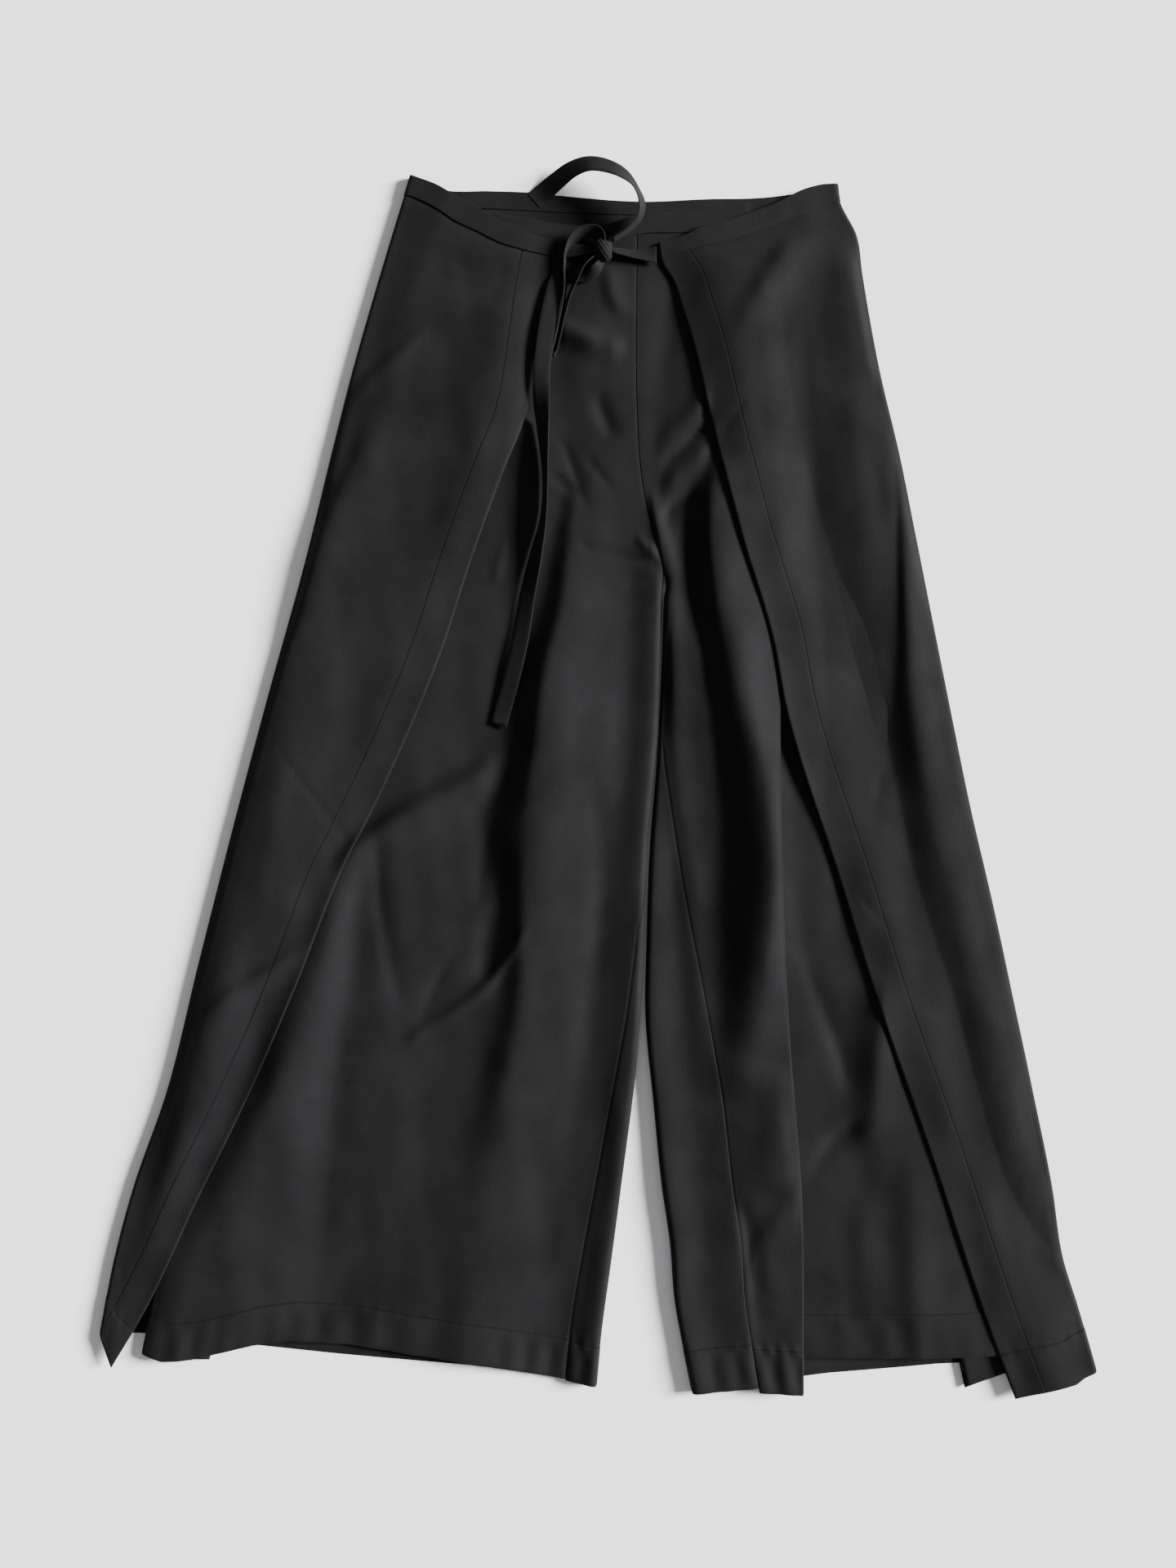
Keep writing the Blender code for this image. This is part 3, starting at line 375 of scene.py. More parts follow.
def front_height(side, x, down):
    """The middle of the front panel's wall: its layer, a roll along the inner fold, and its folds.

    The roll is a bell across. The folds and swells die away at the side, at the band and at the centre seam.
    """
    inside = SIGN[side] * (x - INNER_LINE[side](down)) - INNER_ROLL_IN
    roll = INNER_ROLL[side] * np.exp(-((inside / INNER_ROLL_WIDTH) ** 2))
    roll = roll * smooth(down, ROLL_FROM[side], ROLL_FROM[side] + ROLL_GROWS)
    out = np.abs(SIDE[side](down) - x)
    calm = smooth(out, 8, 45) * smooth(down, 60, 95)
    swells = unevenness(x, down, SWELLS[side]) * smooth(np.abs(x - CENTRE_SEAM), 4, 30)
    folds = relief(FRONT_FOLDS[side], x, down) + swells
    return FRONT + roll + folds * calm + BELLY * smooth(out, 4, 60)


def meet(across, edge):
    """Where a lengthwise line crosses an edge: down is halved in on until it equals the edge's own down."""
    low = np.full(np.shape(across(0.0)), SEARCH_FROM)
    high = low + SEARCH_LONG
    for _ in range(HALVINGS):
        middle = (low + high) / 2
        short = middle < edge(across(middle))
        low, high = np.where(short, middle, low), np.where(short, high, middle)
    return (low + high) / 2


def stretch(count, place, top, hem, rows=None, closed=False):
    """Columns of a panel across one stretch of its section, as points and how far each is above the hem.

    place gives across and height from the fraction across the stretch and the down; top and hem give the
    down of the two edges from the fraction and the across. The last column is left to the next stretch unless
    closed. rows is how many evenly spaced rows a band has; a leg has close rows at its top and its hem.
    """
    f = np.linspace(0, 1, count + 1)[:None if closed else -1]
    first = meet(lambda d: place(f, d + 0 * f)[0], lambda x: top(f, x))[:, None]
    last = meet(lambda d: place(f, d + 0 * f)[0], lambda x: hem(f, x))[:, None]
    if rows is not None:
        down = first + (last - first) * rows
    else:
        start, end = first + ROWS_AT_TOP[-1], last - ROWS_AT_HEM[0]
        even = start + (end - start) * np.linspace(0, 1, ROWS_BETWEEN + 2)[1:-1]
        down = np.concatenate([first + ROWS_AT_TOP, even, last - ROWS_AT_HEM], axis=1)
    x, z = place(f[:, None], down)
    return np.stack([x, WAIST_Y - down, z + 0 * x, last - down], axis=-1)


def on_layer(start, end, height, crowd=1.0):
    """A stretch that lies on one layer, between two lengthwise lines; crowd draws its columns to the end."""
    def place(f, down):
        x = end(down) + (start(down) - end(down)) * (1 - f) ** crowd
        return x, height(x, down) + 0 * x
    return place


def half_round(line, toward, lower, upper, upward=True):
    """A fold whose outermost line is given: a half circle from one layer's height to another's."""
    def place(f, down):
        edge = line(down)
        low, high = lower(edge, down), upper(edge, down)
        radius = (high - low) / 2
        turn = np.pi * (f - 0.5) * (1 if upward else -1)
        x = edge - toward * radius + toward * radius * np.cos(turn)
        return x, low + radius + radius * np.sin(turn)
    return place


def fold_centre(line, toward, lower, upper):
    """The line where a half-round fold meets the flat stretches beside it."""
    def read(down):
        edge = line(down)
        return edge - toward * (upper(edge, down) - lower(edge, down)) / 2
    return read


def border(one, other=None, by=0.0):
    """An edge's down, from one outline to the other as a fold turns, or all on the one, moved by a length."""
    if other is None:
        return lambda f, x: one(x) + by
    return lambda f, x: one(x) * (1 - f) + other(x) * f + by


def level(height):
    """A flat layer at a height."""
    return lambda x, down: height + 0 * x


floor_height, extension_height = level(FLOOR), level(EXTENSION)


def inner_fold(side, front):
    """The section functions of the cloth round a leg's inner fold: its back strip and its front strip.

    The cloth leaves the floor, turns half round the fold, and lies on the front. The inseam is TURN_UP round
    it. Above the crotch both strips lie flat to the centre seams. The seam's edges sink into its groove, a
    bell in section.
    """
    sign = SIGN[side]

    def seam_at(down):
        """The inseam's distance round the fold, and the radius at which the fold meets the front."""
        edge = INNER_LINE[side](down) + sign * LEG_GAP
        radius = (front(edge, down) - FLOOR) / 2
        for _ in range(5):
            radius = (front(edge + sign * radius, down) - FLOOR) / 2
        turn_up = TURN_UP[side](down)
        angle = np.pi / 2 + np.arcsin(np.clip(turn_up / radius, -0.7, 1))
        return radius * angle + np.maximum(turn_up - radius, 0), radius

    def round_inner(arc, down):
        """The place at a distance along the cloth from where it leaves the floor: a half circle, then on."""
        seam, radius = seam_at(down)
        groove = np.exp(-(((arc - seam) / INSEAM_WIDE) ** 2))
        sink = INSEAM_SINK * groove * smooth(seam - np.pi * radius, -2, 2)
        centre = INNER_LINE[side](down) + sign * (LEG_GAP + radius)
        angle = np.minimum(arc / radius, np.pi)
        past = np.maximum(arc - np.pi * radius, 0)
        x = centre - sign * radius * np.sin(angle) + sign * past
        z = np.where(past > 0, front(x, down), FLOOR + radius * (1 - np.cos(angle)))
        return x, z - sink

    def closing(down):
        """0 above the crotch, where the legs are one, and 1 below it."""
        return smooth(down, CROTCH_DOWN - 6, CROTCH_DOWN + 26)

    def back_strip(f, down):
        """From the inseam down round the fold to the floor, with its columns close at the seam."""
        seam, radius = seam_at(down)
        seam = seam - SEAM_GAP / 2
        bend = np.minimum(np.pi * radius, 0.7 * seam)
        arc = np.where(f < 0.6, seam + (bend - seam) * (f / 0.6) ** 1.6, bend * (1 - f) / 0.4)
        x, z = round_inner(arc, down)
        flat = CENTRE(down) + sign * (SEAM_GAP / 2 + seam - arc)
        shut = closing(down)
        return flat * (1 - shut) + x * shut, FLOOR * (1 - shut) + z * shut

    def front_strip(f, down):
        """From the inseam on over the front, to just past the fold."""
        seam, radius = seam_at(down)
        end = np.maximum(np.pi * radius, seam) + 4
        arc = seam + SEAM_GAP / 2 + (end - seam) * f**1.6
        x, z = round_inner(arc, down)
        flat = CENTRE(down) + sign * (arc - seam)
        groove = np.exp(-(((arc - seam) / CENTRE_WIDE) ** 2))
        sunk = front(flat, down) - CENTRE_SINK[side] * groove
        shut = closing(down)
        return flat * (1 - shut) + x * shut, sunk * (1 - shut) + z * shut

    return {
        "back": back_strip,
        "front": front_strip,
        "back_start": lambda down: back_strip(1.0, down)[0],
        "front_start": lambda down: front_strip(1.0, down)[0],
    }


def right_front_height(x, down):
    """The right front panel's wall."""
    return front_height("right", x, down)


def extension(side, height, under_hem):
    """The front panel's own side fold, and its return between the layers."""
    centre = fold_centre(FRONT_FOLD[side], SIGN[side], extension_height, height)
    return [
        stretch(9, half_round(FRONT_FOLD[side], SIGN[side], extension_height, height, upward=False),
                border(FRONT_TOP, EXTENSION_TOP[side], by=-TUCK),
                border(under_hem, EXTENSION_HEM[side])),
        stretch(14, on_layer(centre, EXTENSION_EDGE[side], extension_height),
                border(EXTENSION_TOP[side], by=-TUCK), border(EXTENSION_HEM[side]), closed=True),
    ]


def add_node(tree, kind, settings=(), values=(), links=()):
    """Adds one node: its settings by name, its sockets' values by name, and links as (socket, output)."""
    made = tree.nodes.new("ShaderNode" + kind)
    for name, value in dict(settings).items():
        setattr(made, name, value)
    for name, value in dict(values).items():
        made.inputs[name].default_value = value
    for name, output in links:
        tree.links.new(output, made.inputs[name])
    return made


def stitch_row(tree, line, along):
    """Two masks of a row of stitches: the sunk line they lie in, which also sets where painted shade darkens
    the cloth, and the stitches.

    The line fades from 0.3 to 1.1 mm off its middle. A stitch is where the sine of the distance along the
    row, one turn to each stitch, is above -0.6, and it is 0.9 mm thick.
    """
    far = add_node(tree, "Attribute", {"attribute_name": line}).outputs["Fac"]
    near = add_node(tree, "Math", {"operation": "ABSOLUTE"}, {}, [(0, far)]).outputs[0]
    groove = add_node(tree, "MapRange", {"interpolation_type": "SMOOTHSTEP"},
                      {"From Min": 0.3, "From Max": 1.1, "To Min": 1.0, "To Max": 0.0}, [("Value", near)])
    turns = add_node(tree, "Math", {"operation": "MULTIPLY"}, {1: 2 * np.pi / (STITCH_LONG * MM)},
                     [(0, along)]).outputs[0]
    swing = add_node(tree, "Math", {"operation": "SINE"}, {}, [(0, turns)]).outputs[0]
    long = add_node(tree, "Math", {"operation": "GREATER_THAN"}, {1: -0.6}, [(0, swing)]).outputs[0]
    thin = add_node(tree, "Math", {"operation": "LESS_THAN"}, {1: 0.45}, [(0, near)]).outputs[0]
    thread = add_node(tree, "Math", {"operation": "MULTIPLY"}, {}, [(0, long), (1, thin)]).outputs[0]
    return groove.outputs["Result"], thread


def black_twill():
    """Black polyester twill, woven and lightly brushed: matt, with a faint sheen where it turns away.

    The twill's ribs are 0.5 mm apart on the real cloth and 1 mm here, so that they show. A wide soft bump
    stands for its slight rumples, and a fine one for its fluff. Needle stitches are drawn above the hems and
    inside the faced edges; the sunk line they lie in is bumped in and also painted near black, as painted
    shade in that groove.
    """
    material, shader = new_material("black_polyester_twill", {
        "Roughness": 0.75, "Specular IOR Level": 0.05, "Sheen Weight": 0.02, "Sheen Roughness": 0.4})
    tree = material.node_tree
    place = add_node(tree, "UVMap", {"uv_map": "cloth"}).outputs["UV"]
    ribs = add_node(tree, "TexWave", {"bands_direction": "DIAGONAL"},
                    {"Scale": 440.0, "Distortion": 1.5, "Detail": 1.0}, [("Vector", place)])
    fluff = add_node(tree, "TexNoise", {}, {"Scale": 420.0, "Detail": 3.0}, [("Vector", place)])
    cloudy = add_node(tree, "TexNoise", {}, {"Scale": 14.0, "Detail": 4.0}, [("Vector", place)])
    shade = add_node(tree, "Math", {"operation": "MULTIPLY_ADD"}, {1: 0.35}, [(0, fluff.outputs["Fac"])])
    tree.links.new(cloudy.outputs["Fac"], shade.inputs[2])
    colour = add_node(tree, "ValToRGB", {}, {}, [("Fac", shade.outputs[0])])
    for stop, at, black in zip(colour.color_ramp.elements, (0.35, 1.0), ("#0e0e0f", "#19191a")):
        stop.position, stop.color = at, linear(black)
    ways = add_node(tree, "SeparateXYZ", {}, {}, [("Vector", place)])
    across_rows = stitch_row(tree, "hem_stitch", ways.outputs["X"])
    down_rows = stitch_row(tree, "facing_stitch", ways.outputs["Y"])
    groove, thread = (add_node(tree, "Math", {"operation": "MAXIMUM"}, {}, [(0, one), (1, other)]).outputs[0]
                      for one, other in zip(across_rows, down_rows))
    # painted shade: the stitches' sunk line is darkened towards near black, standing for the shade in its
    # groove
    sunk = add_node(tree, "Mix", {"data_type": "RGBA"}, {"B": linear("#080809")},
                    [("Factor", groove), ("A", colour.outputs["Color"])])
    sewn = add_node(tree, "Mix", {"data_type": "RGBA"}, {"B": linear("#131315")},
                    [("Factor", thread), ("A", sunk.outputs["Result"])])
    tree.links.new(sewn.outputs["Result"], shader.inputs["Base Color"])
    depth = add_node(tree, "Math", {"operation": "MULTIPLY_ADD"}, {1: -1.0}, [(0, groove), (2, thread)])
    rumple = add_node(tree, "TexNoise", {}, {"Scale": 28.0, "Detail": 1.5}, [("Vector", place)])
    soft = add_node(tree, "Bump", {}, {"Strength": 0.5, "Distance": 0.0022},
                    [("Height", rumple.outputs["Fac"])])
    low = add_node(tree, "Bump", {}, {"Strength": 0.28, "Distance": 0.0005},
                   [("Height", fluff.outputs["Fac"]), ("Normal", soft.outputs["Normal"])])
    high = add_node(tree, "Bump", {}, {"Strength": 0.3, "Distance": 0.0004},
                    [("Height", ribs.outputs["Fac"]), ("Normal", low.outputs["Normal"])])
    seams = add_node(tree, "Bump", {}, {"Strength": 0.45, "Distance": 0.0005},
                     [("Height", depth.outputs[0]), ("Normal", high.outputs["Normal"])])
    tree.links.new(seams.outputs["Normal"], shader.inputs["Normal"])
    return material


TWILL = black_twill()


def run_along(points, axis=0):
    """The distance along rows of points from the first: the lengths of the steps between them, added up."""
    steps = np.linalg.norm(np.diff(points, axis=axis), axis=-1)
    return np.concatenate([np.zeros_like(steps.take([0], axis)), np.cumsum(steps, axis=axis)], axis=axis)


def unit(vectors):
    """The vectors with their length made 1."""
    return vectors / np.linalg.norm(vectors, axis=-1, keepdims=True)


def wall(name, stretches, thickness, hem_wide=0.0, faced=False):
    """A closed wall of cloth from the columns of its section.

    Its two faces are the middle moved out and in by half the thickness along the normal, and rims close its
    edges. It is thicker inside a turned hem and, if it is faced, beside its last column. It gets thin at the
    folded edges, and dips where the band's seam pulls it in. Where a hem lies on other cloth it waves: a
    sine between the hem and its stitches, a shorter one at the stitches, and a slow one that makes both
    uneven. The UV map is the distance along the section and down the leg, in metres, so that the weave
    follows the cloth.
    """
    grid = np.concatenate(stretches, axis=0)
    middle, above = grid[..., :3].copy(), grid[..., 3]
    columns, rows = above.shape
    u, v = run_along(middle), run_along(middle, axis=1)
    inside = u[-1] - u if faced else np.full_like(above, NO_STITCHES)
    extra = FACING * (1 - smooth(inside, FACING_WIDE - 1, FACING_WIDE + 1))
    if hem_wide:
        extra = extra + HEM_TURN * (1 - smooth(above, hem_wide - 0.8, hem_wide + 0.8))
        raised = smooth(middle[..., 2], HEM_LIES, HEM_LIFTED)
        at_hem = np.sin(np.pi * np.clip(above / hem_wide, 0, 1)) + 0.5 * (1 - smooth(above, 0, hem_wide / 2))
        at_stitches = np.exp(-(((above - hem_wide) / 5) ** 2))
        uneven = 0.6 + 0.4 * np.sin(2 * np.pi * u / HEM_SLOW_LONG + 1)
        wave = HEM_WAVE * at_hem * np.sin(2 * np.pi * u / HEM_WAVE_LONG + 3.4 * np.sin(u / 47))
        pucker = HEM_PUCKER * at_stitches * np.sin(2 * np.pi * u / HEM_PUCKER_LONG + 3 * np.sin(u / 37))
        middle[..., 2] += raised * uneven * (wave + pucker)
        from_top = middle[:, :1, 1] - middle[..., 1]
        middle[..., 2] -= SEAM_DIP * np.exp(-(((from_top - TUCK) / SEAM_DIP_WIDE) ** 2)) * raised
    middle[..., 2] += extra / 2
    from_edge = np.minimum(inside, above) if hem_wide else inside
    thin = EDGE_THIN + (1 - EDGE_THIN) * smooth(from_edge, 0, EDGE_WIDE)
    along, across = np.gradient(middle, axis=1), np.gradient(middle, axis=0)
    normal = unit(np.cross(across, along))
    half = ((thickness + extra) * thin / 2)[..., None]
    points = np.concatenate([middle + normal * half, middle - normal * half])
    uv = np.tile(np.stack([u, v], axis=-1) * MM, (2, 1, 1)).reshape(-1, 2)
    index = np.arange(2 * columns * rows).reshape(2 * columns, rows)
    top, under = index[:columns], index[columns:]

    def quads(a, b, c, d):
        """Four-sided faces from four arrays of corners."""
        return np.stack([a, b, c, d], axis=-1).reshape(-1, 4)

    faces = np.concatenate([
        quads(top[:-1, :-1], top[1:, :-1], top[1:, 1:], top[:-1, 1:]),
        quads(under[:-1, :-1], under[:-1, 1:], under[1:, 1:], under[1:, :-1]),
        quads(top[:-1, 0], under[:-1, 0], under[1:, 0], top[1:, 0]),
        quads(top[:-1, -1], top[1:, -1], under[1:, -1], under[:-1, -1]),
        quads(top[0, :-1], top[0, 1:], under[0, 1:], under[0, :-1]),
        quads(top[-1, :-1], under[-1, :-1], under[-1, 1:], top[-1, 1:]),
    ])
    past_hem_stitch = above - hem_wide if hem_wide else np.full_like(above, NO_STITCHES)
    stitches = [np.tile(far, (2, 1)).ravel() for far in (past_hem_stitch, inside - FACING_WIDE)]
    return cloth_object(name, points.reshape(-1, 3), faces, uv, stitches)


def cloth_object(name, points, faces, uv, stitches=None):
    """A smooth-shaded object of twill from points in millimetres, with its UV map.

    stitches gives each point's distance from the two lines of stitches, which lie where it is 0.
    """
    mesh = bpy.data.meshes.new(name)
    placed = (points + np.array([SHIFT_X, 0, 0])) * MM
    mesh.from_pydata(placed.tolist(), [], faces.tolist())
    corners = np.zeros(len(mesh.loops), int)
    mesh.loops.foreach_get("vertex_index", corners)
    mesh.uv_layers.new(name="cloth").data.foreach_set("uv", uv[corners].ravel())
    far = np.full((2, len(points)), NO_STITCHES) if stitches is None else np.array(stitches)
    for line, values in zip(("hem_stitch", "facing_stitch"), far):
        mesh.attributes.new(line, "FLOAT", "POINT").data.foreach_set("value", values.astype(np.float32))
    mesh.polygons.foreach_set("use_smooth", np.ones(len(faces), bool))
    mesh.materials.append(TWILL)
    return in_scene(name, mesh)


INNER = {"right": inner_fold("right", right_front_height)}
FRONT_CENTRE = {"right": fold_centre(FRONT_FOLD["right"], -1.0, extension_height, right_front_height)}

front_top = border(FRONT_TOP, by=-TUCK)
right_front = wall("right_front_panel", [
    stretch(14, INNER["right"]["front"], front_top, border(FRONT_HEM["right"])),
    stretch(86, on_layer(INNER["right"]["front_start"], FRONT_CENTRE["right"], right_front_height),
            front_top, border(FRONT_HEM["right"])),
] + extension("right", right_front_height, FRONT_HEM["right"]), CLOTH, HEM_WIDE["right"])
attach(right_front, "root")
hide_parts("front_right_leg")

# Left front panel
# The same cut for the other leg. As laid it has one deep lengthwise fold: the cloth goes over to the fold's
# edge, back under itself and on, and the hem of the part beyond lies higher up.
PLEAT_EDGE = curve([(30, 128), (150, 138), (300, 148), (448, 155), (531, 154), (639, 157), (763, 165),
                    (861, 173), (1040, 175)])
PLEAT_DEPTH = curve([(30, 5), (300, 9), (448, 13), (640, 22), (763, 29), (861, 35), (1040, 40)])
LEFT_UNDER_HEM = outline([(130, 1018), (150, 1010), (305, 1009), (402, 1006)])

UNDER_FOLDS = [
    # the layer beyond the lengthwise fold: ridges and troughs below the knee
    ("down", 1.5, [(677, 245, 0, 10, 12), (716, 242, 4.1, 12, 16), (758, 239, 5.4, 14, 18),
      (800, 235, 4.7, 14, 20), (845, 231, 0, 12, 16)]),
    ("down", 1.5, [(583, 158, 0, 8, 10), (611, 165, -2.7, 8, 12), (674, 177, -3.4, 8, 14),
      (716, 193, -3.4, 8, 14), (758, 209, -2.7, 8, 14), (796, 217, 0, 8, 12)]),
    ("across", 2, [(168, 874, 0, 6, 10), (182, 850, -3.4, 6, 12), (196, 829, -4.1, 6, 12),
      (213, 817, -2.7, 6, 12), (228, 811, 0, 6, 10)]),
    ("down", 2, [(852, 223, 0, 10, 12), (898, 226, 2.4, 12, 14), (940, 230, 2.4, 12, 14),
      (1031, 234, 1.4, 10, 12)]),
    ("down", 2, [(828, 272, 0, 12, 12), (870, 266, 2.2, 14, 14), (926, 269, 2.4, 14, 16),
      (1031, 275, 1.6, 14, 16)]),
]


def pleat_inner_edge(down):
    """The line where the lengthwise fold turns forward again, its depth inside its edge."""
    return PLEAT_EDGE(down) - PLEAT_DEPTH(down)


def pleat_rise(x, down, ramp=60.0):
    """How far a layer over the lengthwise fold is lifted, on an S-curve, to make room for the two in it."""
    reach = pleat_inner_edge(down)
    return 2 * LAYER * smooth(x, reach - ramp, reach - 4) * smooth(down, 50, 110)


def left_top_height(x, down):
    """The left front panel's wall from the inseam to the edge of its lengthwise fold."""
    return front_height("left", x, down) + pleat_rise(x, down)


def left_under_height(x, down):
    """The left front panel's wall beyond the lengthwise fold, where the big ridge has dropped away."""
    past = smooth(x, PLEAT_EDGE(down) - 6, PLEAT_EDGE(down) + 46)
    low = FRONT + 0.35 * (front_height("left", x, down) - FRONT)
    far = FRONT + BELLY + relief(UNDER_FOLDS, x, down) + unevenness(x, down, SWELLS["under"])
    return low * (1 - past) + far * past


def pleat_back_height(x, down):
    """The fold's middle layer at its inner turn, one layer over the cloth beyond."""
    return left_under_height(x, down) + LAYER


def pleat_return_height(x, down):
    """The fold's middle layer at its outer turn, one layer under the top."""
    return left_top_height(x, down) - LAYER


INNER["left"] = inner_fold("left", left_top_height)
FRONT_CENTRE["left"] = fold_centre(FRONT_FOLD["left"], 1.0, extension_height, left_under_height)
PLEAT_OUTER_LINE = fold_centre(PLEAT_EDGE, 1.0, pleat_return_height, left_top_height)
PLEAT_INNER_LINE = fold_centre(pleat_inner_edge, -1.0, left_under_height, pleat_back_height)


def pleat_going_back(f, down):
    """The middle layer of the lengthwise fold, straight from its outer turn to its inner one."""
    start, end = PLEAT_OUTER_LINE(down), PLEAT_INNER_LINE(down)
    high = pleat_return_height(PLEAT_EDGE(down), down)
    low = pleat_back_height(pleat_inner_edge(down), down)
    return start * (1 - f) + end * f, high * (1 - f) + low * f


left_hem, left_under_hem = border(FRONT_HEM["left"]), border(LEFT_UNDER_HEM)
left_front = wall("left_front_panel", [
    stretch(14, INNER["left"]["front"], front_top, left_hem),
    stretch(46, on_layer(INNER["left"]["front_start"], PLEAT_OUTER_LINE, left_top_height),
            front_top, left_hem),
    stretch(8, half_round(PLEAT_EDGE, 1.0, pleat_return_height, left_top_height, upward=False),
            front_top, left_hem),
    stretch(5, pleat_going_back, front_top, border(FRONT_HEM["left"], LEFT_UNDER_HEM)),
    stretch(7, half_round(pleat_inner_edge, -1.0, left_under_height, pleat_back_height, upward=False),
            front_top, left_under_hem),
    stretch(50, on_layer(PLEAT_INNER_LINE, FRONT_CENTRE["left"], left_under_height),
            front_top, left_under_hem),
] + extension("left", left_under_height, LEFT_UNDER_HEM), CLOTH, HEM_WIDE["left"])
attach(left_front, "root")
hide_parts("front_left_leg")

# Back panels
# One wide panel for each leg, from the inseam over the back and round the side, with no side seam, and on
# over the front as the overwrap. Its slanted free edge is faced and stitched as far in as the facing is wide.
OVERWRAP_AIR = 2.4
FREE_EDGE = {
    "right": curve([(57, -34), (69, -38), (93, -43), (140, -50), (212, -63), (254, -80), (325, -106),
                    (415, -136), (522, -182), (597, -219), (692, -256), (804, -306), (863, -335),
                    (973, -388), (1018, -415)]),
    "left": curve([(59, 51), (74, 54), (91, 64), (113, 71), (142, 80), (201, 94), (310, 122), (399, 149),
                   (448, 158), (605, 207), (696, 235), (828, 281), (994, 337), (1044, 356)]),
}
OVER_TOP = {
    "right": curve([(-165, 17), (-156, 20), (-137, 30), (-121, 41), (-102, 50), (-84, 59), (-64, 65),
                    (-38, 70)]),
    "left": curve([(54, 72), (76, 66), (106, 59), (138, 48), (164, 38), (191, 27), (207, 22)]),
}
BACK_TOP = curve([(-165, 17), (-150, 21.5), (-130, 24.5), (-71, 28), (34, 32), (90, 30.5), (150, 28),
                  (190, 24.5), (207, 22)])
BACK_HEM = {
    "right": outline([(-425, 989), (-387, 990), (-293, 1000), (-218, 1008), (-92, 1019), (0, 1033)]),
    "left": outline([(80, 1040), (137, 1034), (175, 1026), (261, 1019), (305, 1015), (380, 1015),
                     (426, 1021)]),
}
OVER_HEM = {
    "right": outline([(-425, 989), (-415, 1018)]),
    "left": outline([(356, 1044), (408, 1031), (415, 1026), (426, 1021)]),
}
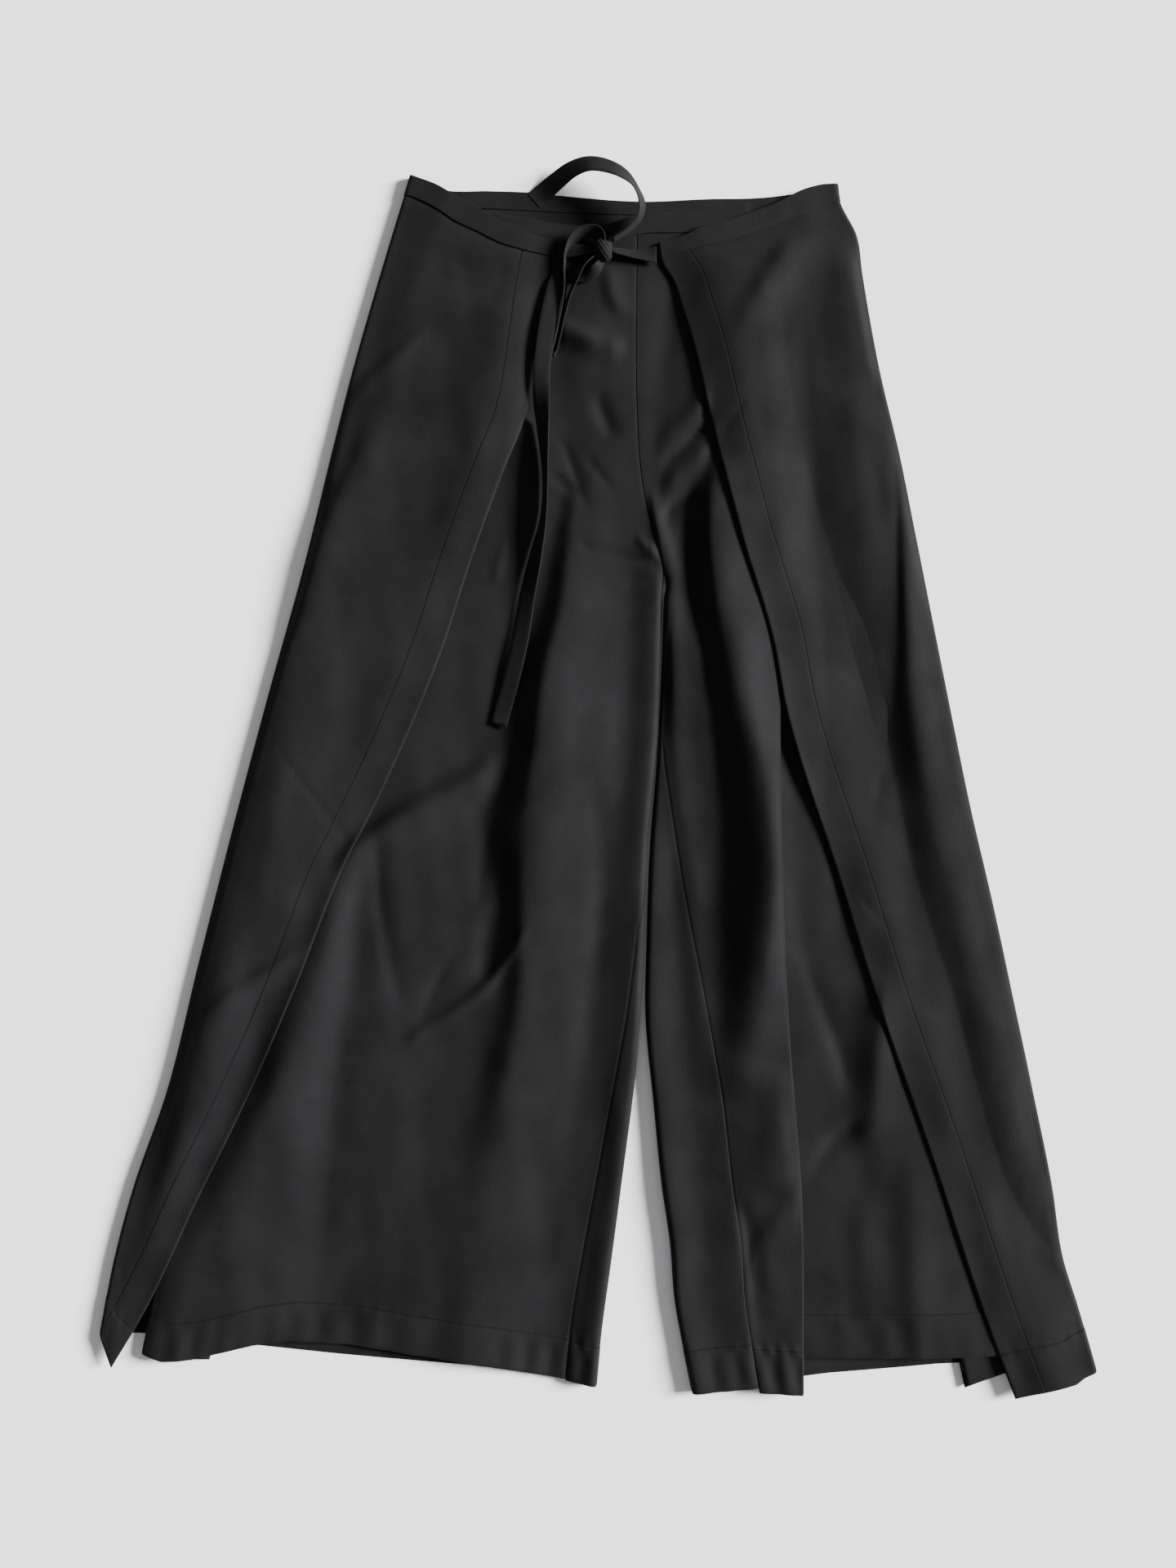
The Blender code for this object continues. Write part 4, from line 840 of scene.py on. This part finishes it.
OVERWRAP_FOLDS = {"right": [
    # the lifted free edge beside the tie
    ("down", 2, [(70, -40, 0, 34, 30), (128, -49, 2.4, 40, 30), (212, -64, 3, 44, 30),
      (306, -99, 2, 34, 30), (415, -136, 0, 30, 30)]),
    # puckers under the band
    ("down", 1.5, [(66, -117, 0, 9, 11), (79, -115, -1, 11, 15), (94, -112, -0.8, 13, 18),
      (115, -106, 0, 13, 18)]),
    ("down", 1.5, [(76, -78, 0, 9, 11), (89, -81, -1, 11, 13), (103, -88, -1, 11, 15),
      (119, -99, 0, 11, 13)]),
    ("down", 1.5, [(55, -133, 0, 9, 11), (68, -134, -0.7, 11, 13), (86, -132, -0.7, 11, 13),
      (103, -129, 0, 11, 13)]),
    # soft lengthwise swells over the hip
    ("down", 2, [(89, -70, 0, 20, 14), (128, -68, 2.1, 34, 14), (184, -71, 2.8, 40, 14),
      (247, -84, 2.1, 36, 12), (306, -101, 0, 30, 12)]),
    ("down", 2, [(194, -189, 0, 10, 14), (240, -200, 2.8, 10, 16), (282, -220, 3.5, 10, 18),
      (324, -234, 3.5, 10, 18), (366, -245, 2.8, 10, 16), (411, -256, 0, 10, 14)]),
    ("across", 2, [(-218, 200, 0, 8, 10), (-194, 177, 2.1, 8, 12), (-166, 153, 2.1, 8, 12),
      (-140, 133, 0, 8, 10)]),
    # creases over the thigh and above the hem
    ("across", 1.5, [(-279, 481, 0, 3, 4), (-260, 506, -0.7, 3, 5), (-236, 537, -0.8, 3, 5),
      (-217, 562, -0.7, 3, 4), (-207, 574, 0, 3, 4)]),
    ("across", 2, [(-340, 717, 0, 8, 10), (-309, 698, 3.1, 8, 12), (-274, 677, 3.4, 8, 12),
      (-241, 658, 0, 8, 10)]),
    ("down", 2, [(632, -302, 0, 14, 18), (688, -316, 2.5, 16, 22), (758, -334, 3.1, 18, 24),
      (828, -355, 2.8, 16, 22), (898, -379, 0, 14, 18)]),
    # the roll along the side
    ("down", 2, [(142, -211, 0, 16, 34), (240, -225, 2, 18, 36), (331, -239, 3.4, 20, 38),
      (429, -259, 4, 20, 40), (520, -281, 4.2, 20, 40), (618, -305, 4.4, 20, 40), (716, -329, 4, 20, 36),
      (807, -351, 3, 18, 30), (884, -372, 1.6, 16, 26), (954, -386, 0, 14, 20)]),
], "left": [
    # the lifted free edge, from the waist to the hem
    ("down", 2, [(82, 58, 0, 30, 34), (121, 74, 1.6, 30, 36), (177, 90, 2.2, 30, 40),
      (240, 104, 2.2, 30, 40), (303, 121, 2.4, 30, 36), (373, 142, 1.6, 26, 34), (443, 156, 1.6, 26, 34),
      (513, 177, 1.9, 26, 34), (590, 202, 2.1, 26, 34), (674, 230, 1.9, 26, 34), (737, 251, 1.4, 24, 30),
      (814, 275, 1, 24, 30), (891, 300, 0.8, 24, 30), (982, 331, 0.6, 20, 26), (1080, 356, 0.3, 20, 26)]),
    # the long trough from the waist to the hem, inside the side's roll
    ("down", 1.3, [(89, 158, 0, 30, 20), (128, 158, -2, 34, 22), (163, 161, -2.7, 40, 26),
      (219, 172, -3.4, 44, 30), (275, 185, -4.1, 44, 34), (331, 202, -4.7, 44, 34),
      (396, 224, -5.4, 44, 34), (458, 241, -5.4, 40, 24), (506, 252, -4.7, 36, 20),
      (536, 258, -4.1, 34, 22), (590, 269, -4.1, 34, 26), (646, 286, -4.1, 34, 30),
      (690, 300, -4.1, 34, 30), (777, 323, -4.1, 34, 30), (835, 340, -4.1, 34, 30),
      (878, 358, -3.4, 30, 26), (910, 381, -2, 24, 20), (927, 399, 0, 20, 16)]),
    # the roll along the side
    ("down", 2, [(173, 228, 0, 16, 12), (226, 242, 1.9, 14, 12), (282, 256, 3.1, 12, 12),
      (338, 262, 3.7, 12, 14), (394, 265, 4, 12, 18), (443, 268, 3.7, 13, 22), (492, 276, 4.8, 16, 24),
      (548, 287, 4.3, 22, 24), (604, 300, 4.3, 24, 24), (660, 315, 4.3, 26, 24), (716, 331, 4.3, 26, 22),
      (779, 347, 3.8, 26, 20), (849, 366, 3.3, 24, 18), (912, 387, 2.4, 18, 14), (943, 399, 0, 14, 12)]),
    # swells below the band
    ("down", 2, [(47, 170, 0, 10, 14), (72, 158, 4.2, 12, 20), (93, 144, 4.9, 12, 22),
      (117, 130, 2.8, 12, 20), (143, 118, 0, 10, 16)]),
    ("down", 2, [(47, 207, 0, 16, 10), (86, 213, 4.2, 20, 12), (121, 220, 4.9, 24, 10),
      (156, 227, 3.5, 24, 8), (192, 234, 0, 20, 8)]),
    # dents and small creases
    ("down", 2, [(499, 244, 0, 5, 6), (523, 240, -0.9, 6, 7), (549, 236, 0, 5, 6)]),
    ("across", 1.5, [(221, 615, 0, 3, 4), (231, 625, -0.7, 3, 4), (240, 633, -0.7, 3, 4),
      (252, 644, 0, 3, 4)]),
    ("across", 1.5, [(100, 229, 0, 3, 4), (109, 216, -0.8, 3, 5), (119, 203, -0.8, 3, 5),
      (128, 193, 0, 3, 4)]),
    ("across", 1.5, [(113, 266, 0, 3, 3), (126, 262, -0.6, 3, 4), (144, 260, -0.6, 3, 4),
      (157, 259, 0, 3, 3)]),
    # the pinch beside the side's roll
    ("down", 1.5, [(237, 251, 0, 5, 4), (268, 254, -1.2, 6, 4), (310, 255, -1.8, 7, 4),
      (366, 256, -2, 8, 4), (408, 256, -1.8, 9, 5), (443, 254, -1.2, 8, 6), (478, 251, 0, 8, 8)]),
]}


def over_height(side, x, down):
    """The middle of the overwrap's wall: it rides over the front panel, with a little air under it.

    The air grows from none at the side and at the free edge, and the free edge lies closer to the cloth below
    the band. On the left leg it also clears the lengthwise fold.
    """
    out = np.abs(SIDE[side](down) - x)
    inside = SIGN[side] * (x - FREE_EDGE[side](down))
    air = OVERWRAP_AIR * smooth(out, 4, 40) * smooth(inside, 0, 40)
    lie = 0.5 + 0.5 * np.maximum(smooth(inside, 0, 34), 1 - smooth(down, 75, 110))
    under = front_height(side, x, down)
    if side == "left":
        past = smooth(x, PLEAT_EDGE(down) + 2, PLEAT_EDGE(down) + 42)
        beyond = left_under_height(x, down)
        under = np.maximum((under + pleat_rise(x, down, 70.0)) * (1 - past) + beyond * past, beyond)
    folds = relief(OVERWRAP_FOLDS[side], x, down) * smooth(out, 0, 9)
    return under + LAYER * lie + air + folds


OVER = {
    "right": lambda x, down: over_height("right", x, down),
    "left": lambda x, down: over_height("left", x, down),
}
SIDE_CENTRE = {side: fold_centre(SIDE[side], SIGN[side], floor_height, OVER[side]) for side in SIGN}


def facing_line(side):
    """The stitch line of the facing: parallel to the free edge, and never past the side."""
    def read(down):
        line = FREE_EDGE[side](down) + SIGN[side] * FACING_WIDE
        limit = SIDE_CENTRE[side](down) - SIGN[side] * 3
        return np.minimum(line, limit) if side == "left" else np.maximum(line, limit)
    return read


def back_panel(side):
    """From the inseam round the inner fold, over the floor, round the side and over the front."""
    back_top, back_hem = border(BACK_TOP, by=-TUCK), border(BACK_HEM[side])
    over_top, over_hem = border(OVER_TOP[side], by=-TUCK), border(OVER_HEM[side])
    return [
        stretch(22, INNER[side]["back"], back_top, back_hem),
        stretch(14, on_layer(INNER[side]["back_start"], SIDE_CENTRE[side], floor_height, 1.7),
                back_top, back_hem),
        stretch(12, half_round(SIDE[side], SIGN[side], floor_height, OVER[side]),
                border(BACK_TOP, OVER_TOP[side], by=-TUCK),
                border(BACK_HEM[side], OVER_HEM[side])),
        stretch(60, on_layer(SIDE_CENTRE[side], facing_line(side), OVER[side]), over_top, over_hem),
        stretch(12, on_layer(facing_line(side), FREE_EDGE[side], OVER[side]), over_top, over_hem,
                closed=True),
    ]


for side in SIGN:
    panel = wall(side + "_back_panel", back_panel(side), CLOTH, HEM_WIDE[side], faced=True)
    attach(panel, "root")
    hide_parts("back_" + side + "_leg")

# Waistbands
# Two narrow strips of the same twill, doubled, with the panels' tops sewn in between their layers. The outer
# one closes the back and the overwraps; the inner one closes the front, and its ends turn back inside.
BAND_CLOTH = 1.3
BAND_ROWS = np.array([0, 0.03, 0.09, 0.2, 0.35, 0.5, 0.65, 0.8, 0.91, 0.97, 1.0])
BAND_TOP_OVER = {
    "right": curve([(-160, 0), (-136, 10), (-120, 20), (-102, 29), (-85, 40), (-64, 49), (-50, 54),
                    (-34, 57)]),
    "left": curve([(51, 59), (76, 52), (93, 44), (112, 40), (138, 31), (151, 26), (177, 13), (191, 9),
                   (205, 8)]),
}
BAND_TOP_BACK = curve([(-160, 0), (-136, 10), (-92, 12), (-62, 13), (-22, 17), (39, 21), (90, 19),
                       (149, 17), (177, 13), (205, 8)])
BAND_TOP_FRONT = curve([(-162, 15), (-130, 23), (-103, 30), (-64, 37), (-24, 43), (6, 43), (34, 34),
                        (79, 32), (103, 26), (139, 22), (202, 15)])
BAND_TOP_EXTENSION = {
    "right": curve([(-162, 15), (-66, 42)]),
    "left": curve([(92, 40), (202, 15)]),
}


# the band is thicker than a panel, so its middle lies higher
floor_band = level(BAND_CLOTH / 2)


def outer_band():
    """One strip from the right overwrap's corner round the back to the left overwrap's corner."""
    def over_part(side, flip):
        """The part along an overwrap, from its corner to the side if it is flipped."""
        lines = (SIDE_CENTRE[side], FREE_EDGE[side])
        start, end = lines[::-1] if flip else lines
        return stretch(60, on_layer(start, end, OVER[side]), border(BAND_TOP_OVER[side]),
                       border(OVER_TOP[side]), BAND_ROWS, closed=not flip)

    def side_part(side, upward):
        """The turn round the side, up from the floor or down to it."""
        edges = (BACK_TOP, OVER_TOP[side]) if upward else (OVER_TOP[side], BACK_TOP)
        tops = (BAND_TOP_BACK, BAND_TOP_OVER[side]) if upward else (BAND_TOP_OVER[side], BAND_TOP_BACK)
        return stretch(10, half_round(SIDE[side], SIGN[side], floor_band, OVER[side], upward),
                       border(*tops), border(*edges), BAND_ROWS)

    back = stretch(110, on_layer(SIDE_CENTRE["right"], SIDE_CENTRE["left"], floor_band),
                   border(BAND_TOP_BACK), border(BACK_TOP), BAND_ROWS)
    return [over_part("right", True), side_part("right", False), back, side_part("left", True),
            over_part("left", False)]


def inner_band():
    """One strip over both front panels, with its two ends turned back on the extensions."""
    outer = {"right": right_front_height, "left": left_under_height}

    def end_part(side, outward):
        """The end on an extension, from the fold to the extension's edge if it runs outward."""
        lines = (EXTENSION_EDGE[side], FRONT_CENTRE[side])
        start, end = lines if not outward else lines[::-1]
        return stretch(20, on_layer(start, end, extension_height), border(BAND_TOP_EXTENSION[side]),
                       border(EXTENSION_TOP[side]), BAND_ROWS, closed=outward)

    def side_part(side, upward):
        """The turn round the front panel's side fold."""
        edges = (EXTENSION_TOP[side], FRONT_TOP) if upward else (FRONT_TOP, EXTENSION_TOP[side])
        tops = (BAND_TOP_EXTENSION[side], BAND_TOP_FRONT)
        tops = tops if upward else tops[::-1]
        return stretch(8, half_round(FRONT_FOLD[side], SIGN[side], extension_height, outer[side], upward),
                       border(*tops), border(*edges), BAND_ROWS)

    def over_front(f, down):
        """The part on the fronts, which passes from one panel's height to the other's at the centre seam."""
        x = FRONT_CENTRE["right"](down) * (1 - f) + FRONT_CENTRE["left"](down) * f
        share = smooth(x, CENTRE_SEAM - 4, CENTRE_SEAM + 4)
        beyond = smooth(x, PLEAT_EDGE(down) - 1, PLEAT_EDGE(down) + 3)
        left = left_top_height(x, down) * (1 - beyond) + left_under_height(x, down) * beyond
        return x, front_height("right", x, down) * (1 - share) + left * share

    front = stretch(130, over_front, border(BAND_TOP_FRONT), border(FRONT_TOP), BAND_ROWS)
    return [end_part("right", False), side_part("right", True), front, side_part("left", False),
            end_part("left", True)]


for name, strip, node, long, under in (
        ("outer_band", outer_band(), "outer_waistband", 0.68, "floor"),
        ("inner_band", inner_band(), "inner_waistband", 0.58, "left_front_panel")):
    band = wall(name, strip, BAND_CLOTH)
    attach(band, "root")
    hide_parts(node)

# Ties
# Straps of the same twill, folded in four to 15 mm and stitched shut. Those at the overwraps' corners cross
# in the knot; one end stands on edge as the loop, and the other lies down the right leg to a square end.
TIE_CLOTH = 1.3
TIE_STEPS = 8
REST_GAP = 0.6
REST_FALL = 0.3
# rows of (across, down, height of its middle, tilt in degrees, width); the tail's heights are above resting
TIES = {
    "right_tie": [(-33.2, 67.0, 10.2, 0, 11.5), (-24, 66.5, 10.6, 8, 11.5), (-12, 66, 12.2, 20, 9.5),
                  (-1.2, 66, 13.8, 30, 6)],
    "left_tie": [(50.0, 69.6, 9.9, 0, 14.8), (43.5, 69.6, 9.8, -8, 12.2), (33, 69.4, 10.2, -20, 9),
                 (23, 68.2, 11.6, -30, 8), (12.6, 67, 13.4, -40, 6)],
    "bow_loop": [(3.6, 62.4, 15.4, 80, 7), (4.8, 57.6, 14.8, 70, 9.5), (0.8, 52.6, 14, 52, 12.5),
                 (-11, 51.6, 13.4, 48, 13), (-21.2, 57.4, 12.6, 62, 11.5), (-26.8, 68, 12, 76, 9.5),
                 (-28.2, 80, 11.6, 80, 8.5), (-27.8, 95, 11.6, 80, 8), (-29, 111, 12, 76, 8),
                 (-32.4, 129, 12.4, 72, 8), (-36, 146, 12.6, 72, 8), (-38, 154, 12.4, 80, 8),
                 (-37, 156.4, 12.4, 90, 8), (-35.4, 153, 12.4, 84, 8), (-32.8, 142, 12.6, 76, 8),
                 (-28.8, 123, 12.8, 72, 8.5), (-24, 105, 13, 70, 9.5), (-18, 91.5, 13.6, 68, 11),
                 (-12.6, 80.4, 14.4, 68, 11), (-7.7, 75.6, 15, 72, 9), (-2.6, 72, 15.2, 70, 5)],
    "tie_tail": [(3.4, 75.5, 4.2, 30, 6), (0.6, 81, 2.8, 40, 9), (-5, 86, 1.4, 30, 11),
                 (-14, 87, 0.4, 12, 12), (-23, 84.5, 0.2, 2, 12), (-30.6, 85.5, 0.6, 0, 12.5),
                 (-35, 93, 1.2, 0, 13.5), (-38, 106, 2.6, 0, 14.5), (-41.6, 124, 3.8, 0, 15),
                 (-45, 147, 4.4, 0, 15), (-47.6, 170, 3.6, -4, 14.5), (-47.8, 191, 2, -18, 15),
                 (-46.6, 215, 0.6, -44, 15), (-45.2, 240, 0, -64, 15), (-44.6, 268, 0, -72, 15),
                 (-46.4, 296, 0, -66, 15), (-52.2, 324, 0, -44, 15), (-59.4, 358, 0, -26, 15),
                 (-66.4, 400, 0, -16, 15), (-76, 440, 0, -10, 14.5), (-84.5, 470, 0, -6, 14)],
    "back_strap": [(-55, 20.8, 1, 0, 15.6), (-49.5, 16, 1, 0, 16.4), (-34.5, 5.4, 7, 8, 16.4),
                   (-22, -1.6, 13, 14, 16.2), (-8, -4.6, 18, 20, 16), (8, -1.4, 21, 26, 15.5),
                   (22, 6, 22.6, 42, 15.5), (32, 16.4, 22.4, 64, 15), (37.4, 30, 20.4, 66, 15),
                   (35.8, 40, 18.8, 78, 14), (26, 50.4, 17.4, 86, 12), (12.5, 59.4, 16.6, 80, 8)],
}


def tie_path(rows):
    """The rows of a tie, read as a smooth line with steps between them."""
    table = np.array(rows, float)
    at = run_along(table[:, :3])
    fine = np.interp(np.arange(0, len(at) - 1 + 1e-9, 1 / TIE_STEPS), np.arange(len(at)), at)
    return np.stack([curve(np.stack([at, column], axis=1))(fine) for column in table.T], axis=1)


def cloth_under(x, down):
    """The top of the cloth that the tail lies on: the right front panel, or the overwrap beside it."""
    on_top = 1 - smooth(x - FREE_EDGE["right"](down), 0, 4)
    low = front_height("right", x, down)
    high = np.maximum(over_height("right", x, down), low)
    return low * (1 - on_top) + high * on_top + CLOTH / 2


def resting(across, down, tilt, wide):
    """The height at which a turned strap just clears the cloth under its whole width.

    It is the highest cloth under five places across the strap, and it falls by REST_FALL a step at most.
    """
    slant = np.abs(np.sin(np.radians(tilt)))
    reach = wide / 2 * np.sqrt(1 - slant**2) + 1
    run, fall = np.gradient(across), np.gradient(down)
    long = np.hypot(run, fall)
    under = [cloth_under(across - reach * share * fall / long, down + reach * share * run / long)
             for share in (-1, -0.5, 0, 0.5, 1)]
    clear = np.max(under, axis=0)
    for _ in range(6):
        clear = np.maximum(clear, np.maximum(np.roll(clear, 1), np.roll(clear, -1)) - REST_FALL)
    return clear + REST_GAP + wide / 2 * slant + TIE_CLOTH / 2


# the outline of a strap's section, as (share of half the width, share of half the thickness)
STRAP_SECTION = np.array([
    (-1, 0), (-0.98, 0.75), (-0.9, 1), (-0.45, 0.94), (0, 0.92), (0.45, 0.94), (0.84, 1), (0.9, 0.72),
    (0.96, 0.75), (1, 0), (0.96, -0.75), (0.9, -0.72), (0.84, -1), (0.45, -0.94), (0, -0.92), (-0.45, -0.94),
    (-0.9, -1), (-0.98, -0.75)])


def tube(name, points, round_it, along_it):
    """A closed tube from rings of points: faces between each two rings, filled ends, and all turned out."""
    count, around = points.shape[:2]
    ring = np.arange(count * around).reshape(count, around)
    after = np.roll(ring, -1, axis=1)
    sides = np.stack([ring[:-1], after[:-1], after[1:], ring[1:]], axis=-1).reshape(-1, 4)
    uv = np.stack(np.broadcast_arrays(round_it, along_it), axis=-1).reshape(-1, 2) * MM
    made = cloth_object(name, points.reshape(-1, 3), sides, uv)
    body = bmesh.new()
    body.from_mesh(made.data)
    bmesh.ops.holes_fill(body, edges=[e for e in body.edges if e.is_boundary], sides=0)
    bmesh.ops.recalc_face_normals(body, faces=body.faces)
    body.to_mesh(made.data)
    body.free()
    return made


def strap(name):
    """A flat strap: its section carried along its path, turned about the path by its tilt."""
    across, down, height, tilt, wide = tie_path(TIES[name]).T
    if name == "tie_tail":
        height = height + resting(across, down, tilt, wide)
    path = np.stack([across, WAIST_Y - down, height], axis=1)
    forward = unit(np.gradient(path, axis=0))
    aside = unit(np.cross(forward, [0, 0, 1.0]))
    upright = np.cross(aside, forward)
    turn = np.radians(tilt)[:, None]
    breadth = aside * np.cos(turn) + upright * np.sin(turn)
    face = np.cross(forward, breadth)
    across_share, thick_share = STRAP_SECTION.T
    points = (path[:, None] + breadth[:, None] * (wide / 2)[:, None, None] * across_share[None, :, None]
              + face[:, None] * TIE_CLOTH / 2 * thick_share[None, :, None])
    return tube(name + "_strap", points, wide[:, None] / 2 * across_share, run_along(path)[:, None])


for name in TIES:
    tie = strap(name)
    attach(tie, "root")
    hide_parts(name)

# Knot
# The two ties crossed over each other and pulled tight: a small egg of cloth, with one strap's turn wrapped
# slantwise round it and creases where the straps go in.
KNOT = np.array([4.8, 67.0, 14.4])
KNOT_SIZE = np.array([9.4, 10.4, 7.2])
KNOT_WRAP = np.array([0.8, 0.6, 0.1])
KNOT_RINGS = 39
KNOT_AROUND = 64
KNOT_WEAVE = 8.0


def knot_points(polar, round_):
    """An egg whose skin swells in a slanted band with two raised edges, and has small creases round it."""
    way = np.stack([np.sin(polar) * np.cos(round_), np.sin(polar) * np.sin(round_),
                    np.cos(polar) + 0 * round_], axis=-1)
    axis = unit(KNOT_WRAP)
    off = way @ axis
    side_way = np.cross(axis, [0, 0, 1.0])
    turn = np.arctan2(way @ np.cross(axis, side_way), way @ side_way)
    swell = 0.84 + 0.16 * np.exp(-((off / 0.42) ** 6)) + 0.03 * np.cos(2 * np.pi * off / 0.34)
    creases = 0.035 * np.cos(7 * turn + 6 * off) * smooth(np.abs(off), 0.4, 0.8)
    return way * KNOT_SIZE * (swell + creases)[..., None] + KNOT * [1, -1, 1] + [0, WAIST_Y, 0]


knot_polar = np.linspace(0, np.pi, KNOT_RINGS + 2)[1:-1, None]
knot_round = np.linspace(0, 2 * np.pi, KNOT_AROUND, endpoint=False)[None, :]
knot = tube("knot_of_ties", knot_points(knot_polar, knot_round),
            knot_round * KNOT_WEAVE, knot_polar * KNOT_WEAVE)
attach(knot, "root")
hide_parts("knot")
